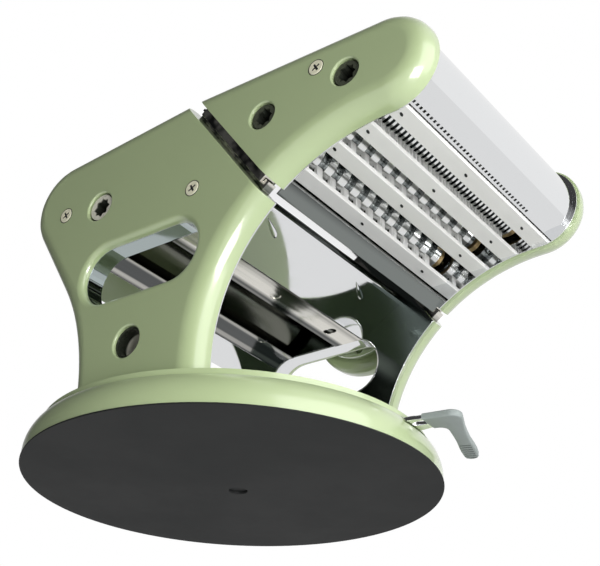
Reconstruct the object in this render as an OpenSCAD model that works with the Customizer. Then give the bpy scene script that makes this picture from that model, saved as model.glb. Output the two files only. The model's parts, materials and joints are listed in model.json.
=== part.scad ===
// Hand cranked pasta machine on a round suction foot.
// Origin: centre of the foot's bottom face. +Z up, +X towards the cutter head, near cheek at -Y.

/* [Cheeks] */
// Room between a dough roller's end and the side plate
end_room = 6.5; // [6:0.25:7.5]
// Depth of a cheek from its plate's inner face to its cover's outer face
cheek_depth = 16.5; // [15:0.25:19]
// Thickness of a side plate
plate_t = 2; // [1.5:0.25:2.5]
// Wall of a cheek cover
cover_wall = 5; // [4:0.5:6]
// Wall of a cover along the joint between body and cutter head
joint_wall = 3.5; // [3:0.25:4]
// Radius of the big rounded edge of a cover
cover_edge_r = 12; // [9:0.5:13]
// How far a side plate's edge lies inside the cover's edge
plate_inset = 1.4; // [1:0.1:2]
// Front of the foot of the body cheek
foot_front_x = 51; // [47:1:54]
// Height of the arch's centre in front of the foot
arch_z = 38; // [34:1:42]
// Radius of the arch in front of the foot
arch_r = 105; // [100:1:110]
// Place of the rear nose's centre along X
nose_x = -66; // [-68:1:-64]
// Height of the rear nose's centre
nose_z = 164; // [162:1:167]
// Radius of the rear nose
nose_r = 31; // [30:0.5:33]
// Slope of the top edge in degrees
top_slope = 4.9; // [4:0.1:6]
// Slope of the flank's normal below the nose in degrees
flank_slope = 33.4; // [30:0.2:36]
// Straight length of the flank below the nose
flank_len = 52; // [48:1:56]
// Radius of the hollow waist behind the foot
waist_r = 145; // [135:1:155]

/* [Joint between body and cutter head] */
// Place along X of a point on the body's joint plane
joint_x = 29; // [28:0.5:31]
// Height of that point
joint_z = 197; // [195:0.5:199]
// Lean of the joint plane from the vertical in degrees
joint_lean = 36.6; // [35.5:0.1:37.5]
// Clear gap between the two joint planes
joint_gap = 8; // [8:0.25:9]
// Width of a joint rail's head
rail_w = 6; // [5:0.5:7]
// Thickness of a joint rail's web
rail_web = 2; // [1.6:0.2:2.4]
// Thickness of a joint rail's head
rail_head_t = 1.6; // [1.4:0.1:2]
// Wall of the channel that slides on the rail
channel_t = 1.5; // [1.2:0.1:1.6]
// Play between rail and channel
rail_play = 0.35; // [0.3:0.05:0.45]
// How far the rails start below the reference point along the joint
rail_low = 92; // [88:1:94]
// How far below the reference point the rails end at the top
rail_top = 4; // [3:0.5:8]
// Height of the stop block at a rail's foot
rail_stop = 4; // [3:0.5:5]
// How far below the reference point the channels end at the top
channel_top = 8; // [6:0.5:12]

/* [Handle slot and crank parking socket] */
// Place of the handle slot's centre along X
slot_x = 1.5; // [0:0.5:3]
// Height of the handle slot's centre
slot_z = 101.5; // [100:0.5:102]
// Radius of the handle slot's round ends
slot_r = 18.5; // [16:0.5:18.5]
// Straight length of the handle slot
slot_len = 50; // [40:1:52]
// Wall of the collar that lines the slot
collar_t = 1; // [0.8:0.1:1.2]
// Rounding of the slot's edge on the cover
slot_edge_r = 4; // [3:0.5:4.5]
// Place of the parking socket along X
park_x = 1; // [-2:0.5:4]
// Height of the parking socket
park_z = 52; // [50:0.5:56]
// Inner radius of the parking socket
park_r = 8; // [7:0.25:8.5]
// Wall of the parking socket
park_wall = 1.4; // [1:0.1:1.6]
// Width of the parking socket's flange
park_flange = 3; // [2:0.5:4]
// Depth of the parking socket's mouth below the cover's face
park_sink = 2; // [1:0.5:3]

/* [Rollers] */
// Length of the dough rollers
roller_len = 150; // [130:1:180]
// Radius of the dough rollers
roller_r = 27; // [26:0.25:27.25]
// Place of the driven roller's axis along X
drive_x = -36; // [-37:0.5:-35]
// Height of both dough rollers' axes
roller_z = 151; // [150.5:0.25:152]
// Radius of the rollers' shafts
shaft_r = 7; // [6:0.25:7.5]
// Widest gap between the rollers
gap_max = 2.5; // [2:0.1:2.8]
// How much the gap knob closes the gap
gap_travel = 2.3; // [1.6:0.1:2.4]
// Radial play of a shaft in its bore
run_play = 0.05; // [0.03:0.01:0.08]
// Outer radius of a roller bush
bush_r = 10; // [9.5:0.25:11]
// Width of a bush flange beyond its body
bush_flange = 2; // [1.5:0.25:2.5]
// Thickness of a bush flange
bush_flange_t = 2; // [1.5:0.25:2.5]
// Radius of the crank hole in the near cover
crank_hole_r = 9.5; // [9.25:0.25:10]
// Outer radius of the drive socket
socket_r = 8.5; // [8.25:0.25:8.75]
// Side of the square recess in the drive socket
socket_square = 9.5; // [8.5:0.25:9.75]
// Depth of the recess in a crank socket
socket_depth = 11; // [8:0.5:12]
// Depth of a crank socket's mouth below the cover's face
socket_sink = 1.75; // [1:0.25:3]
// Chamfer round a crank hole and the parking hole
hole_chamfer = 0.8; // [0.4:0.1:1.2]

/* [Gears] */
// Teeth of a dough roller gear
gear_teeth = 20; // [16:2:24]
// Outer radius of a dough roller gear
gear_tip_r = 29.5; // [29:0.1:29.5]
// Root clearance of the gears at the narrowest gap
gear_root_play = 0.5; // [0.4:0.1:0.8]
// Play between the flanks of the teeth
gear_flank_play = 0.35; // [0.3:0.05:0.5]
// Pressure angle of the teeth in degrees
gear_angle = 20; // [18:1:22]
// Gap between the far plate and the gears
gear_gap = 0.8; // [0.6:0.1:1]
// Thickness of a dough roller gear
gear_t = 4.4; // [4:0.1:4.6]

/* [Gap carriage] */
// Half width of the sliding bearing block in the plate's window
block_half = 10; // [9:0.25:10.5]
// How far the block's flange stands out round the window
block_lip = 3; // [2:0.5:3.5]
// Gap between the roller's end and the bearing block
block_gap = 1; // [0.8:0.1:1.5]
// Play between the carriage and the plates
slide_play = 0.3; // [0.2:0.05:0.35]
// Place of the carriage's tie rod along X
carriage_rod_x = 16; // [15.5:0.25:17]
// Height of the carriage's tie rod
carriage_rod_z = 185; // [184.5:0.25:186]
// Radius of the carriage's tie rod
carriage_rod_r = 3.5; // [3:0.25:4]
// Width of the upright tongue on a bearing block
tongue_w = 13; // [11:0.5:13]
// Gap between gear and yoke
yoke_gap = 0.7; // [0.5:0.1:0.8]
// Thickness of the yoke plate
yoke_t = 2; // [1.6:0.1:2]
// Width of the yoke plate
yoke_w = 25; // [24:0.5:26]
// How far the yoke reaches below the cam
yoke_drop = 3.3; // [3:0.1:4]
// Height of the yoke's bar above the gear
bar_gap = 2.5; // [2:0.1:3]
// Height of the yoke's bar
bar_h = 6.5; // [5:0.5:7]

/* [Gap knob] */
// Radius of the gap knob
knob_r = 42; // [38:0.5:44]
// Thickness of the gap knob
knob_t = 10; // [9:0.5:11]
// Distance of the knob's back from the far cover
knob_stand = 7; // [6:0.25:8]
// Rounding of the knob's rim
knob_edge_r = 3; // [2:0.5:4]
// Radius of the cam on the knob's hub
cam_r = 9; // [8.5:0.25:9.5]
// Gap round the cam in its window
cam_play = 0.5; // [0.45:0.05:0.6]
// Radius of the hub where the knob slides
hub_tip_r = 5.5; // [5:0.25:5.75]
// How far the knob pulls out
knob_pull = 2.5; // [2:0.25:2.75]
// Radius of the spring pocket in the knob
knob_pocket_r = 9; // [8.5:0.25:10]
// Radius of the knob screw's head
knob_screw_r = 7.4; // [7:0.1:8]
// Thickness of the knob screw's head
knob_screw_t = 1.6; // [1.4:0.1:2]
// Depth of the screw head below the knob's face
knob_screw_sink = 0.3; // [0.2:0.1:0.6]
// Radius of the knob screw's shank
knob_shank_r = 2; // [1.5:0.25:2.5]
// Radius of the circle of index holes
index_r = 29; // [27:0.5:30]
// Width of the index ring
index_w = 10; // [8:0.5:10]
// Thickness of the index ring
index_t = 2.5; // [2:0.25:3]
// Radius of an index pin
index_pin_r = 2; // [1.5:0.25:2.25]
// Play of an index pin in its hole
index_play = 0.6; // [0.5:0.1:0.8]
// Gap between an index pin's end and the ring
index_gap = 0.3; // [0.2:0.05:0.5]
// Number of index holes round the ring
index_count = 16; // [16:8:32]
// Wire radius of the knob spring
spring_wire_r = 0.35; // [0.3:0.05:0.4]
// Turns of the knob spring
spring_turns = 3; // [2:1:3]

/* [Sheets] */
// Thickness of the chromed sheets
sheet_t = 1; // [0.8:0.1:1.1]
// Depth of the front apron behind the joint plane
apron_depth = 4.5; // [4:0.1:4.6]
// Height of the apron's bend
apron_bend_z = 140; // [138:0.5:142]
// Length that the apron's bend takes on each side
apron_bend_r = 5; // [3:0.5:6]
// Place of the apron floor's lower edge along X
apron_low_x = 33; // [32.5:0.25:36]
// Height of the lower edges of the sheets
low_z = 119.5; // [119:0.25:120]
// Depth of the top plates below the covers' top edge
top_sink = 4; // [3.5:0.25:6]
// Depth of the rear panel inside the nose
rear_sink = 4; // [3:0.25:6]
// Width of a scraper strip
scraper_w = 20.5; // [18:0.5:21]
// Radius of the round ends of the hole in the front scraper
scraper_hole_r = 3; // [2:0.25:4]
// Distance of that hole from the far plate
scraper_hole_in = 21; // [15:1:40]
// Place of the front scraper's inner edge along X
scraper_front_x = 11.5; // [11:0.25:12]
// Place of the rear scraper's inner edge along X
scraper_rear_x = -23.5; // [-24:0.25:-23]
// Gap between a scraper's blade and its roller
scraper_gap = 0.5; // [0.4:0.05:0.7]
// Place of the front hopper plate's top corner along X
hopper_front_x = 8; // [7:0.25:9]
// Place of the rear hopper plate's top corner along X
hopper_rear_x = -44; // [-46:0.5:-40]
// Gap between a hopper plate's lip and its roller
lip_gap = 1; // [0.8:0.1:1.2]
// Gap between two neighbouring sheets
sheet_gap = 0.4; // [0.3:0.05:0.6]
// Radius of a tie rod
tie_r = 3.5; // [3:0.25:3.5]

/* [Cutter head] */
// Radius of the arch below the cutter head
cutter_arch_r = 118; // [115:1:121]
// Place of the cutter nose's centre along X
cutter_nose_x = 162.5; // [162:0.25:165]
// Height of the cutter nose's centre
cutter_nose_z = 176; // [175:0.25:177]
// Radius of the cutter's nose
cutter_nose_r = 28; // [27.5:0.25:29]
// Place of the first wide cutter roller along X
wide_x = 86; // [85.5:0.25:87]
// Height of the first wide cutter roller
wide_z = 168; // [167.5:0.25:168.5]
// Slope of the row of cutter rollers in degrees
row_slope = 6.2; // [5.5:0.1:6.8]
// Distance between the two wide cutter rollers
wide_pitch = 27.66; // [27.6:0.02:27.8]
// Distance between the wide pair and the narrow pair
pair_pitch = 27.66; // [27.6:0.02:27.8]
// Distance between the two narrow cutter rollers
narrow_pitch = 25.65; // [25.6:0.05:25.8]
// Depth to which two cutter rollers mesh
wide_mesh = 0.7; // [0.5:0.05:0.8]
// Depth to which the narrow cutter rollers mesh
narrow_mesh = 0.55; // [0.5:0.05:0.7]
// Width of a wide noodle
wide_noodle = 6.5; // [6.25:0.25:6.75]
// Width of a narrow noodle
narrow_noodle = 2; // [2:0.1:2.2]
// Depth of the grooves in a cutter roller
groove_depth = 3.2; // [2.8:0.1:3.5]
// Play at each side of a cutting ring
ring_play = 0.06; // [0.04:0.01:0.1]
// Radius of a cutter roller's shaft
cutter_shaft_r = 5; // [4.5:0.25:5.5]
// Outer radius of a cutter bush
cutter_bush_r = 7.5; // [7:0.25:8]
// Outer radius of a cutter crank socket
cutter_socket_r = 7.6; // [7.2:0.1:8]
// Radius of a crank hole in the cutter's near cover
cutter_hole_r = 8.5; // [8.25:0.25:9]
// Teeth of a cutter gear
cutter_teeth = 16; // [12:4:20]
// Height of a cutter gear's teeth above the pitch circle
cutter_addendum = 1.4; // [1.2:0.1:1.5]
// Thickness of a cutter gear
cutter_gear_t = 3.4; // [3:0.1:3.5]
// Gap between the two planes of cutter gears
cutter_gear_gap = 0.6; // [0.4:0.1:0.8]
// Depth of a comb's strip below its roller's axis
comb_drop = 25; // [24:0.25:26]
// Width of a comb's strip
comb_w = 11; // [10:0.5:11]
// Thickness of a comb's strip
comb_t = 3; // [2.5:0.25:3.25]
// Thickness of a comb's teeth along X
comb_tooth_t = 2.6; // [2:0.1:3]
// Gap between a comb's tooth and its roller
comb_gap = 0.5; // [0.4:0.05:0.6]
// Depth of the cutter housing inside the covers' edge
housing_sink = 4; // [3.5:0.25:5]
// Width of the housing's lower lip
lip_run = 10; // [8:0.25:10.25]
// Width of a feed mouth above a pair of cutter rollers
mouth_w = 24; // [20:1:26]
// Depth of the wide feed mouth's lips
wide_lip = 14; // [12:0.5:14.5]
// Depth of the narrow feed mouth's lips
narrow_lip = 10.5; // [8:0.5:11]
// How far the back panel's foot lies above the rails' foot
panel_rise = 0.8; // [0.5:0.1:1.2]
// Reach of the back panel's lip into the joint's gap
panel_lip = 4.5; // [3:0.25:5]
// Side of a small square vent in the housing's lower lip
vent_side = 1.8; // [1.4:0.1:2]
// Pitch of the square vents
vent_pitch = 3.5; // [3:0.1:4]
// How far the row of vents is shifted towards the near cheek
vent_shift = 14; // [0:1:14]
// How far the row of vents lies from the lip's edge
vent_inset = 2.4; // [2:0.1:4]
// Radius of a cutter tie rod
cutter_tie_r = 3; // [2.5:0.25:3.25]

/* [Foot] */
// How far the foot's rim stands out beyond the cheeks
foot_rim = 23; // [20:0.5:26]
// How far the suction pad's lip stands out beyond the foot's rim
pad_rim = 0.5; // [0:0.1:0.9]
// Thickness of the suction pad's lip under the foot's rim
pad_lip_t = 1; // [0.8:0.1:1.5]
// Play between the suction pad and the foot's rim
pad_play = 0.2; // [0.1:0.05:0.4]
// Thickness of the suction pad
pad_t = 5; // [4.5:0.25:5.5]
// Radius of the rim's rounding
rim_r = 19.5; // [18.5:0.25:20]
// How far the raised plateau under the cheeks reaches beyond them
plateau_rim = 15; // [14:0.5:16]
// Height of the plateau
plateau_z = 23; // [22.75:0.25:24]
// Wall of the foot's plateau
dome_wall = 2.5; // [2:0.1:2.6]
// Wall of the foot's rim
rim_wall = 3.5; // [3:0.25:4]
// Height of the step between rim and plateau
plateau_step = 4; // [3:0.25:4.5]
// Depth of the dimple near the middle of the pad
dimple_depth = 1.5; // [1:0.25:2]
// Radius of the dimple
dimple_r = 5.5; // [3:0.5:6]
// How far the dimple lies off the pad's middle
dimple_off = 9; // [8:0.25:12]
// Direction of the dimple from the pad's middle in degrees
dimple_turn = 108; // [0:1:360]
// Radius of the stem's disc on the pad
disc_r = 35; // [30:1:40]
// Thickness of the stem's disc
disc_t = 1.2; // [1:0.1:1.4]
// Radius of the lift stem
stem_r = 5; // [4.5:0.25:5.5]
// How far the stem lifts the pad's middle
lift = 3; // [2:0.25:3]
// Gap that stays between the lifted disc and the bridge
lift_gap = 0.3; // [0.2:0.05:0.4]
// Thickness of the bridge plate
bridge_t = 1.8; // [1.6:0.1:1.9]
// Width of the bridge plate
bridge_w = 30; // [26:1:34]
// Half length of the bridge plate
bridge_half = 62; // [58:1:66]
// Radius of a bridge boss
boss_r = 6; // [5:0.5:7]
// Radius of the cross pin
pin_r = 1.5; // [1.25:0.05:1.6]
// Half length of the cross pin
pin_half = 11; // [10:0.5:11.5]
// Thickness of the floor below the ramps
ramp_floor = 1.5; // [1.25:0.05:1.6]
// Gap between the bridge and the ramp ring
ramp_seat = 0.2; // [0.15:0.05:0.25]
// Play between a ramp and the cross pin
ramp_play = 0.4; // [0.35:0.05:0.45]
// Inner radius of the ramps
ramp_in_r = 6.5; // [6:0.25:7]
// Outer radius of the ramps
ramp_out_r = 12; // [11.5:0.25:12]
// Wall of the cup round the ramps
cup_wall = 4; // [3:0.25:5]

/* [Lever] */
// Angle of the lever at rest in degrees
lever_rest = 3; // [1:0.5:5]
// How far the lever turns in degrees
lever_swing = 45; // [30:1:50]
// Height of the lever's bottom face
lever_z = 15; // [14.75:0.25:15.25]
// Thickness of the lever
lever_t = 2.6; // [2.2:0.1:2.8]
// How far the lever's corner stands out beyond the foot's rim
lever_out = 20; // [16:0.5:24]
// Half width of the lever where it leaves the foot
lever_half = 7.6; // [7:0.1:8.5]
// Half width of the lever inside the foot
lever_inner_half = 6; // [5:0.25:7]
// Radius of the lever's outer corner
lever_corner_r = 4.4; // [4:0.1:5]
// Half length of the eye-shaped hole in the lever
eye_half_len = 6; // [5:0.25:6.5]
// Half width of the eye-shaped hole
eye_half = 3; // [2.5:0.1:3.5]
// How far the eye-shaped hole stands out beyond the foot's rim
eye_out = 4; // [3:0.25:5]
// Length of the lever's bent arm
arm_len = 50; // [44:1:56]
// Turn of the lever's bent arm in degrees
arm_turn = 105.5; // [98:0.5:108]
// Half width of the bent arm
arm_half = 2.2; // [2:0.1:2.6]
// Wall of the grip sleeve round the lever's corner
grip_wall = 0.8; // [0.6:0.1:1]
// Half width of the grip sleeve's neck
grip_neck = 3.4; // [3.2:0.1:3.8]
// Half width of the grip sleeve near its tip
grip_half = 4.2; // [3.9:0.1:4.6]
// Radius of the grip sleeve's tip
grip_tip_r = 3.8; // [3.4:0.1:4.2]
// How far the sleeve's tip lies beyond the end of the arm
grip_over = 6; // [5:0.5:7]
// Height of the grip sleeve
grip_h = 4.8; // [4.4:0.1:5.4]
// Gap round the lever in its slot in the rim
lever_play = 0.7; // [0.5:0.1:0.9]

/* [Screws] */
// Radius of a cover screw's head
screw_head_r = 4.6; // [4:0.1:5]
// Height of a cover screw's head
screw_head_t = 1.6; // [1.4:0.1:2]
// Radius of a cover screw's shank
screw_shank_r = 2; // [1.5:0.1:2.2]
// Width of the cross in a screw's head
cross_w = 1.3; // [1:0.1:1.5]
// Length of the cross in a screw's head
cross_len = 5; // [4:0.25:6]
// Depth of the cross
cross_depth = 1; // [0.8:0.1:1.2]
// Radius of a post between plate and cover
post_r = 3.6; // [3.2:0.1:4]
// Radius of a foot screw's head
foot_head_r = 5; // [4:0.25:5.5]
// Height of a foot screw's head
foot_head_t = 3; // [2.5:0.25:3.5]
// Width of the plates' foot flanges
flange_w = 22; // [20:1:26]

// Place of the near cover's rear screw along X
rear_screw_x = -65; // [-67:0.5:-63]
// Height of the near cover's rear screw
rear_screw_z = 154; // [153:0.5:156]
// Place of the near cover's front screw along X
front_screw_x = 39; // [38:0.5:41]
// Height of the near cover's front screw
front_screw_z = 137; // [136:0.5:138]
// Place of the far cover's rear screw along X
far_rear_x = -84; // [-85:0.5:-83]
// Height of the far cover's rear screw
far_rear_z = 160; // [159:0.5:162]
// Place of the far cover's front screw along X
far_front_x = 74; // [73:0.5:75]
// Height of the far cover's front screw
far_front_z = 122; // [121:0.5:123]
// Place of the near cutter cover's screw along X
cutter_screw_x = 122; // [121:0.5:124]
// Height of the near cutter cover's screw
cutter_screw_z = 185; // [184:0.5:187]
// Place of the far cutter cover's front screw along X
cutter_far_x = 58; // [57:0.5:59]
// Height of the far cutter cover's screws
cutter_far_z = 193.5; // [193:0.25:194]
// Place of the far cutter cover's rear screw along X
cutter_far_rear_x = 140; // [139:0.5:141]
// Place of the foot screws in front of the slot's middle
foot_screw_pitch = 25; // [22:1:28]

/* [Tie rods] */
// Place of the tie rod in the rear nose along X
tie_nose_x = -78; // [-79:0.5:-77]
// Height of the tie rod in the rear nose
tie_nose_z = 178; // [177:0.5:179]
// Place of the front tie rod along X
tie_front_x = 51; // [50.5:0.25:51.5]
// Height of the front tie rod
tie_front_z = 140.5; // [140:0.25:141]
// Place of the lower rear tie rod along X
tie_rear_x = -62; // [-63:0.5:-61]
// Height of the lower rear tie rod
tie_rear_z = 121; // [120.5:0.25:122]
// Place of the cutter's front tie rod along X
cutter_tie_x = 66; // [65:0.5:67]
// Height of the cutter's front tie rod
cutter_tie_z = 182; // [181:0.5:183]
// Place of the cutter's nose tie rod along X
cutter_tie_nose_x = 165; // [164.5:0.25:165.5]
// Height of the cutter's nose tie rod
cutter_tie_nose_z = 195; // [194.5:0.25:195]

/* [Hidden] */
$fn = 96;
arc_steps = 16;
edge_steps = 6;
cut = 1;
touch = 0.02;
seat = 0.3;

// Widths across the machine, measured from the middle
plate_in = roller_len / 2 + end_room;
plate_out = plate_in + plate_t;
cover_out = plate_in + cheek_depth;
cavity_y = cover_out - cover_wall;

// Joint plane: its normal points towards the cutter head
joint = [joint_x, joint_z];
joint_normal = [cos(joint_lean), sin(joint_lean)];
joint_up = [-sin(joint_lean), cos(joint_lean)];
function on_joint(out, up) = joint + out * joint_normal + up * joint_up;
function joint_at(z, out) =
    joint_x + (out - (z - joint_z) * joint_normal[1]) / joint_normal[0];

function past_joint(p) = (p - joint) * joint_normal;
function turn_at_joint(c, r, out) = joint_lean + acos((out - past_joint(c)) / r);

// Outline helpers, all in the X-Z plane; an outline starts at a corner that sees all its points
function arc(c, r, from, to, steps) =
    [for (k = [0:steps]) let (a = from + (to - from) * k / steps) c + r * [cos(a), sin(a)]];
function unit(v) = v / norm(v);
function left_of(v) = [-v[1], v[0]];
function step_normal(p, i) =
    let (last = len(p) - 1,
         a = left_of(unit(p[min(i + 1, last)] - p[min(i, last - 1)])),
         b = left_of(unit(p[max(i, 1)] - p[max(i - 1, 0)])))
    (a + b) / (1 + a * b);
function band(p, t) = concat(
    p, [for (k = [len(p) - 1:-1:0]) p[k] + t * step_normal(p, k)]);

// Body cheek
foot_z = plateau_z;
nose = [nose_x, nose_z];
flank_dir = [sin(flank_slope), -cos(flank_slope)];
flank_normal = [-cos(flank_slope), -sin(flank_slope)];
waist = nose + (nose_r + waist_r) * flank_normal + flank_len * flank_dir;
arch = [foot_front_x + arch_r, arch_z];
function nose_top(inset) = nose + (nose_r - inset) * [-sin(top_slope), cos(top_slope)];
function top_at(x, inset) = let (t = nose_top(inset)) t[1] + (x - t[0]) * tan(top_slope);
function top_end(inset) =
    let (t = nose_top(inset), run = [cos(top_slope), sin(top_slope)])
    t - run * past_joint(t) / (run * joint_normal);
function body_outline(inset) = concat(
    [top_end(inset)],
    arc(nose, nose_r - inset, 90 + top_slope, 180 + flank_slope, 2 * arc_steps),
    arc(waist, waist_r + inset, flank_slope, 0, arc_steps),
    [[waist[0] + waist_r + inset, foot_z], [foot_front_x - inset, foot_z]],
    arc(arch, arch_r + inset, 180, turn_at_joint(arch, arch_r + inset, 0), arc_steps));

// Cutter cheek
cutter_nose = [cutter_nose_x, cutter_nose_z];
cutter_arch = [cutter_nose_x, cutter_nose_z - cutter_nose_r - cutter_arch_r];
cutter_top_z = cutter_nose_z + cutter_nose_r;
function cutter_outline(inset) = concat(
    [[joint_at(cutter_top_z - inset, joint_gap), cutter_top_z - inset]],
    arc(cutter_arch, cutter_arch_r + inset,
        turn_at_joint(cutter_arch, cutter_arch_r + inset, joint_gap), 90, arc_steps),
    arc(cutter_nose, cutter_nose_r - inset, -90, 90, 2 * arc_steps));

// Handle slot
function slot_outline(grow) = concat(
    arc([slot_x + slot_len / 2, slot_z], slot_r + grow, -90, 90, arc_steps),
    arc([slot_x - slot_len / 2, slot_z], slot_r + grow, 90, 270, arc_steps));

// Axes of the rollers and the knob
adj_x = drive_x + 2 * roller_r + gap_max;
drive = [drive_x, roller_z];
adj = [adj_x, roller_z];
eccentric = gap_travel / 2;
knob_axis = [adj_x - eccentric, roller_z];
row_dir = [cos(row_slope), sin(row_slope)];
wide = [wide_x, wide_z];
wide_mate = wide + wide_pitch * row_dir;
narrow = wide_mate + pair_pitch * row_dir;
narrow_mate = narrow + narrow_pitch * row_dir;
wide_r = (wide_pitch + wide_mesh) / 2;
narrow_r = (narrow_pitch + narrow_mesh) / 2;

// Planes outside the far plate
gear_y = plate_out + gear_gap;
gear_end = gear_y + gear_t;
yoke_y = gear_end + yoke_gap;
yoke_end = yoke_y + yoke_t;
knob_back = cover_out + knob_stand;
knob_face = knob_back + knob_t;
cutter_gear2_y = gear_y + cutter_gear_t + cutter_gear_gap;

// Gears of the dough rollers
gear_pitch_r = roller_r + (gap_max - gap_travel) / 2;
gear_root_r = 2 * gear_pitch_r - gear_tip_r - gear_root_play;

// Vents in the housing's lower lip
vent_row_share = 0.87;
vent_count = floor(vent_row_share * roller_len / vent_pitch);

// Combs
comb_offset_shares = [0.56, 0.55, 0, -0.42];
comb_tooth_share = 0.8;

// Foot
foot_r = cover_out + foot_rim;
pad_r = foot_r + pad_rim;
plateau_r = cover_out + plateau_rim;
lever_reach = foot_r + lever_out;
eye_steps = 24;
grip_end = arm_len + grip_over;
grip_shares = [0, 0.2, 0.55, 0.8, 0.92, 1];
grip_halves = [grip_neck + grip_wall, grip_neck, grip_neck, grip_half, grip_half, grip_tip_r];
grip_last = len(grip_shares) - 1;
lever_top = lever_z + lever_t;
disc_top = pad_t + disc_t;
bridge_z = disc_top + lift + lift_gap;
bridge_top = bridge_z + bridge_t;
cam_z = bridge_top + ramp_seat;
ramp_z = cam_z + ramp_floor;
pin_z = ramp_z + ramp_play + pin_r;
stem_top = pin_z + pin_r + seat;
dome_in_z = plateau_z - dome_wall;
rim_centre_r = foot_r - rim_r;
flange_z = plateau_z + plate_t;

// Places of screws and rods
near_screws = [[rear_screw_x, rear_screw_z], [front_screw_x, front_screw_z]];
far_screws = [[far_rear_x, far_rear_z], [far_front_x, far_front_z]];
cutter_near_screws = [[cutter_screw_x, cutter_screw_z]];
cutter_far_screws = [[cutter_far_x, cutter_far_z], [cutter_far_rear_x, cutter_far_z]];
body_ties = [[tie_nose_x, tie_nose_z], [tie_front_x, tie_front_z], [tie_rear_x, tie_rear_z]];
cutter_ties = [[cutter_tie_x, cutter_tie_z], [cutter_tie_nose_x, cutter_tie_nose_z]];
body_foot_mid = (foot_front_x + waist[0] + waist_r) / 2;
foot_holes = [body_foot_mid - foot_screw_pitch, body_foot_mid + foot_screw_pitch];
foot_hole_y = plate_in - flange_w / 2;

// Solids along Y
module on_side(side) {
    if (side < 0) mirror([0, 1, 0]) children();
    else children();
}
module along_y(from, to) {
    translate([0, to, 0]) rotate([90, 0, 0]) linear_extrude(height = to - from) children();
}
module rod_y(at, r, from, to) {
    translate([at[0], from, at[1]]) rotate([-90, 0, 0]) cylinder(h = to - from, r = r);
}
module tube_y(at, r_out, r_in, from, to) {
    difference() {
        rod_y(at, r_out, from, to);
        rod_y(at, r_in, from - cut, to + cut);
    }
}
module turned_y(at, from) {
    translate([at[0], from, at[1]]) rotate([-90, 0, 0]) rotate_extrude() children();
}

// Skin over a row of rings with equally many points, whose first point sees all the others
module loft(rings) {
    n = len(rings[0]);
    last = (len(rings) - 1) * n;
    points = [for (ring = rings) for (p = ring) p];
    sides = [for (k = [0:len(rings) - 2]) for (j = [0:n - 1])
        let (a = k * n + j, b = k * n + (j + 1) % n)
        each [[a, b, b + n], [a, b + n, a + n]]];
    first_cap = [for (j = [n:-1:1]) j % n];
    last_cap = [for (j = [0:n - 1]) last + j];
    polyhedron(points = points, faces = concat([first_cap], sides, [last_cap]));
}
function at_y(outline, y) = [for (p = outline) [p[0], y, p[1]]];

// Planes on the two sides of the joint
reach = 4 * cover_out;
module behind_joint(out) {
    polygon([on_joint(out, reach), on_joint(out - reach, reach),
             on_joint(out - reach, -reach), on_joint(out, -reach)]);
}
module ahead_of_joint(out) {
    polygon([on_joint(out, -reach), on_joint(out + reach, -reach),
             on_joint(out + reach, reach), on_joint(out, reach)]);
}

// Rounding of a cover's outer edge, from the plate outwards
edge_turns = [for (k = [0:edge_steps]) 90 * k / edge_steps];
cover_ys = concat([plate_out], [for (a = edge_turns) cover_out - cover_edge_r * (1 - sin(a))]);
cover_insets = concat([0], [for (a = edge_turns) cover_edge_r * (1 - cos(a))]);
slot_ys = concat([cavity_y - cut], [for (a = edge_turns) cover_out - slot_edge_r * (1 - sin(a))],
                 [cover_out + cut]);
slot_grows = concat([0], [for (a = edge_turns) slot_edge_r * (1 - cos(a))], [slot_edge_r]);

module body_cover_blank() {
    difference() {
        loft([for (k = [0:len(cover_ys) - 1]) at_y(body_outline(cover_insets[k]), cover_ys[k])]);
        along_y(plate_out - cut, cavity_y) intersection() {
            polygon(body_outline(cover_wall));
            behind_joint(-joint_wall);
            translate([-reach / 2, foot_z + cover_wall]) square(reach);
        }
        loft([for (k = [0:len(slot_ys) - 1]) at_y(slot_outline(slot_grows[k]), slot_ys[k])]);
    }
}
module cutter_cover_blank() {
    difference() {
        loft([for (k = [0:len(cover_ys) - 1]) at_y(cutter_outline(cover_insets[k]), cover_ys[k])]);
        along_y(plate_out - cut, cavity_y) intersection() {
            polygon(cutter_outline(cover_wall));
            ahead_of_joint(joint_gap + joint_wall);
        }
    }
}
module screw_seats(places) {
    for (p = places) {
        rod_y(p, screw_shank_r + run_play, cavity_y - cut, cover_out + cut);
        rod_y(p, screw_head_r + run_play, cover_out - screw_head_t * 3 / 4, cover_out + cut);
    }
}
module cover_screw(at) {
    head = cover_out - screw_head_t * 3 / 4;
    top = head + screw_head_t;
    difference() {
        union() {
            rod_y(at, screw_head_r, head, top);
            rod_y(at, screw_shank_r, plate_out + cut, head);
        }
        for (a = [0, 90])
            translate([at[0], top - cross_depth, at[1]]) rotate([0, a + 45, 0])
                translate([-cross_len / 2, 0, -cross_w / 2])
                    cube([cross_len, cross_depth + cut, cross_w]);
    }
}
module crank_hole(at, r) {
    rod_y(at, r, cavity_y - cut, cover_out + cut);
    translate([at[0], cover_out - hole_chamfer, at[1]]) rotate([-90, 0, 0])
        cylinder(h = hole_chamfer + cut, r1 = r, r2 = r + hole_chamfer + cut);
}
module post(at) {
    tube_y(at, post_r, screw_shank_r, plate_out, cavity_y);
}

// Suction pad: a thick rubber disc with a thin lip under the foot's rim and a dimple below
module suction_pad() {
    color([0.12, 0.12, 0.12]) difference() {
        union() {
            cylinder(h = pad_lip_t, r = pad_r);
            cylinder(h = pad_t, r = foot_r - rim_wall - pad_play);
        }
        translate([dimple_off * cos(dimple_turn), dimple_off * sin(dimple_turn), -cut])
            cylinder(h = dimple_depth + cut, r = dimple_r);
    }
}

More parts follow.
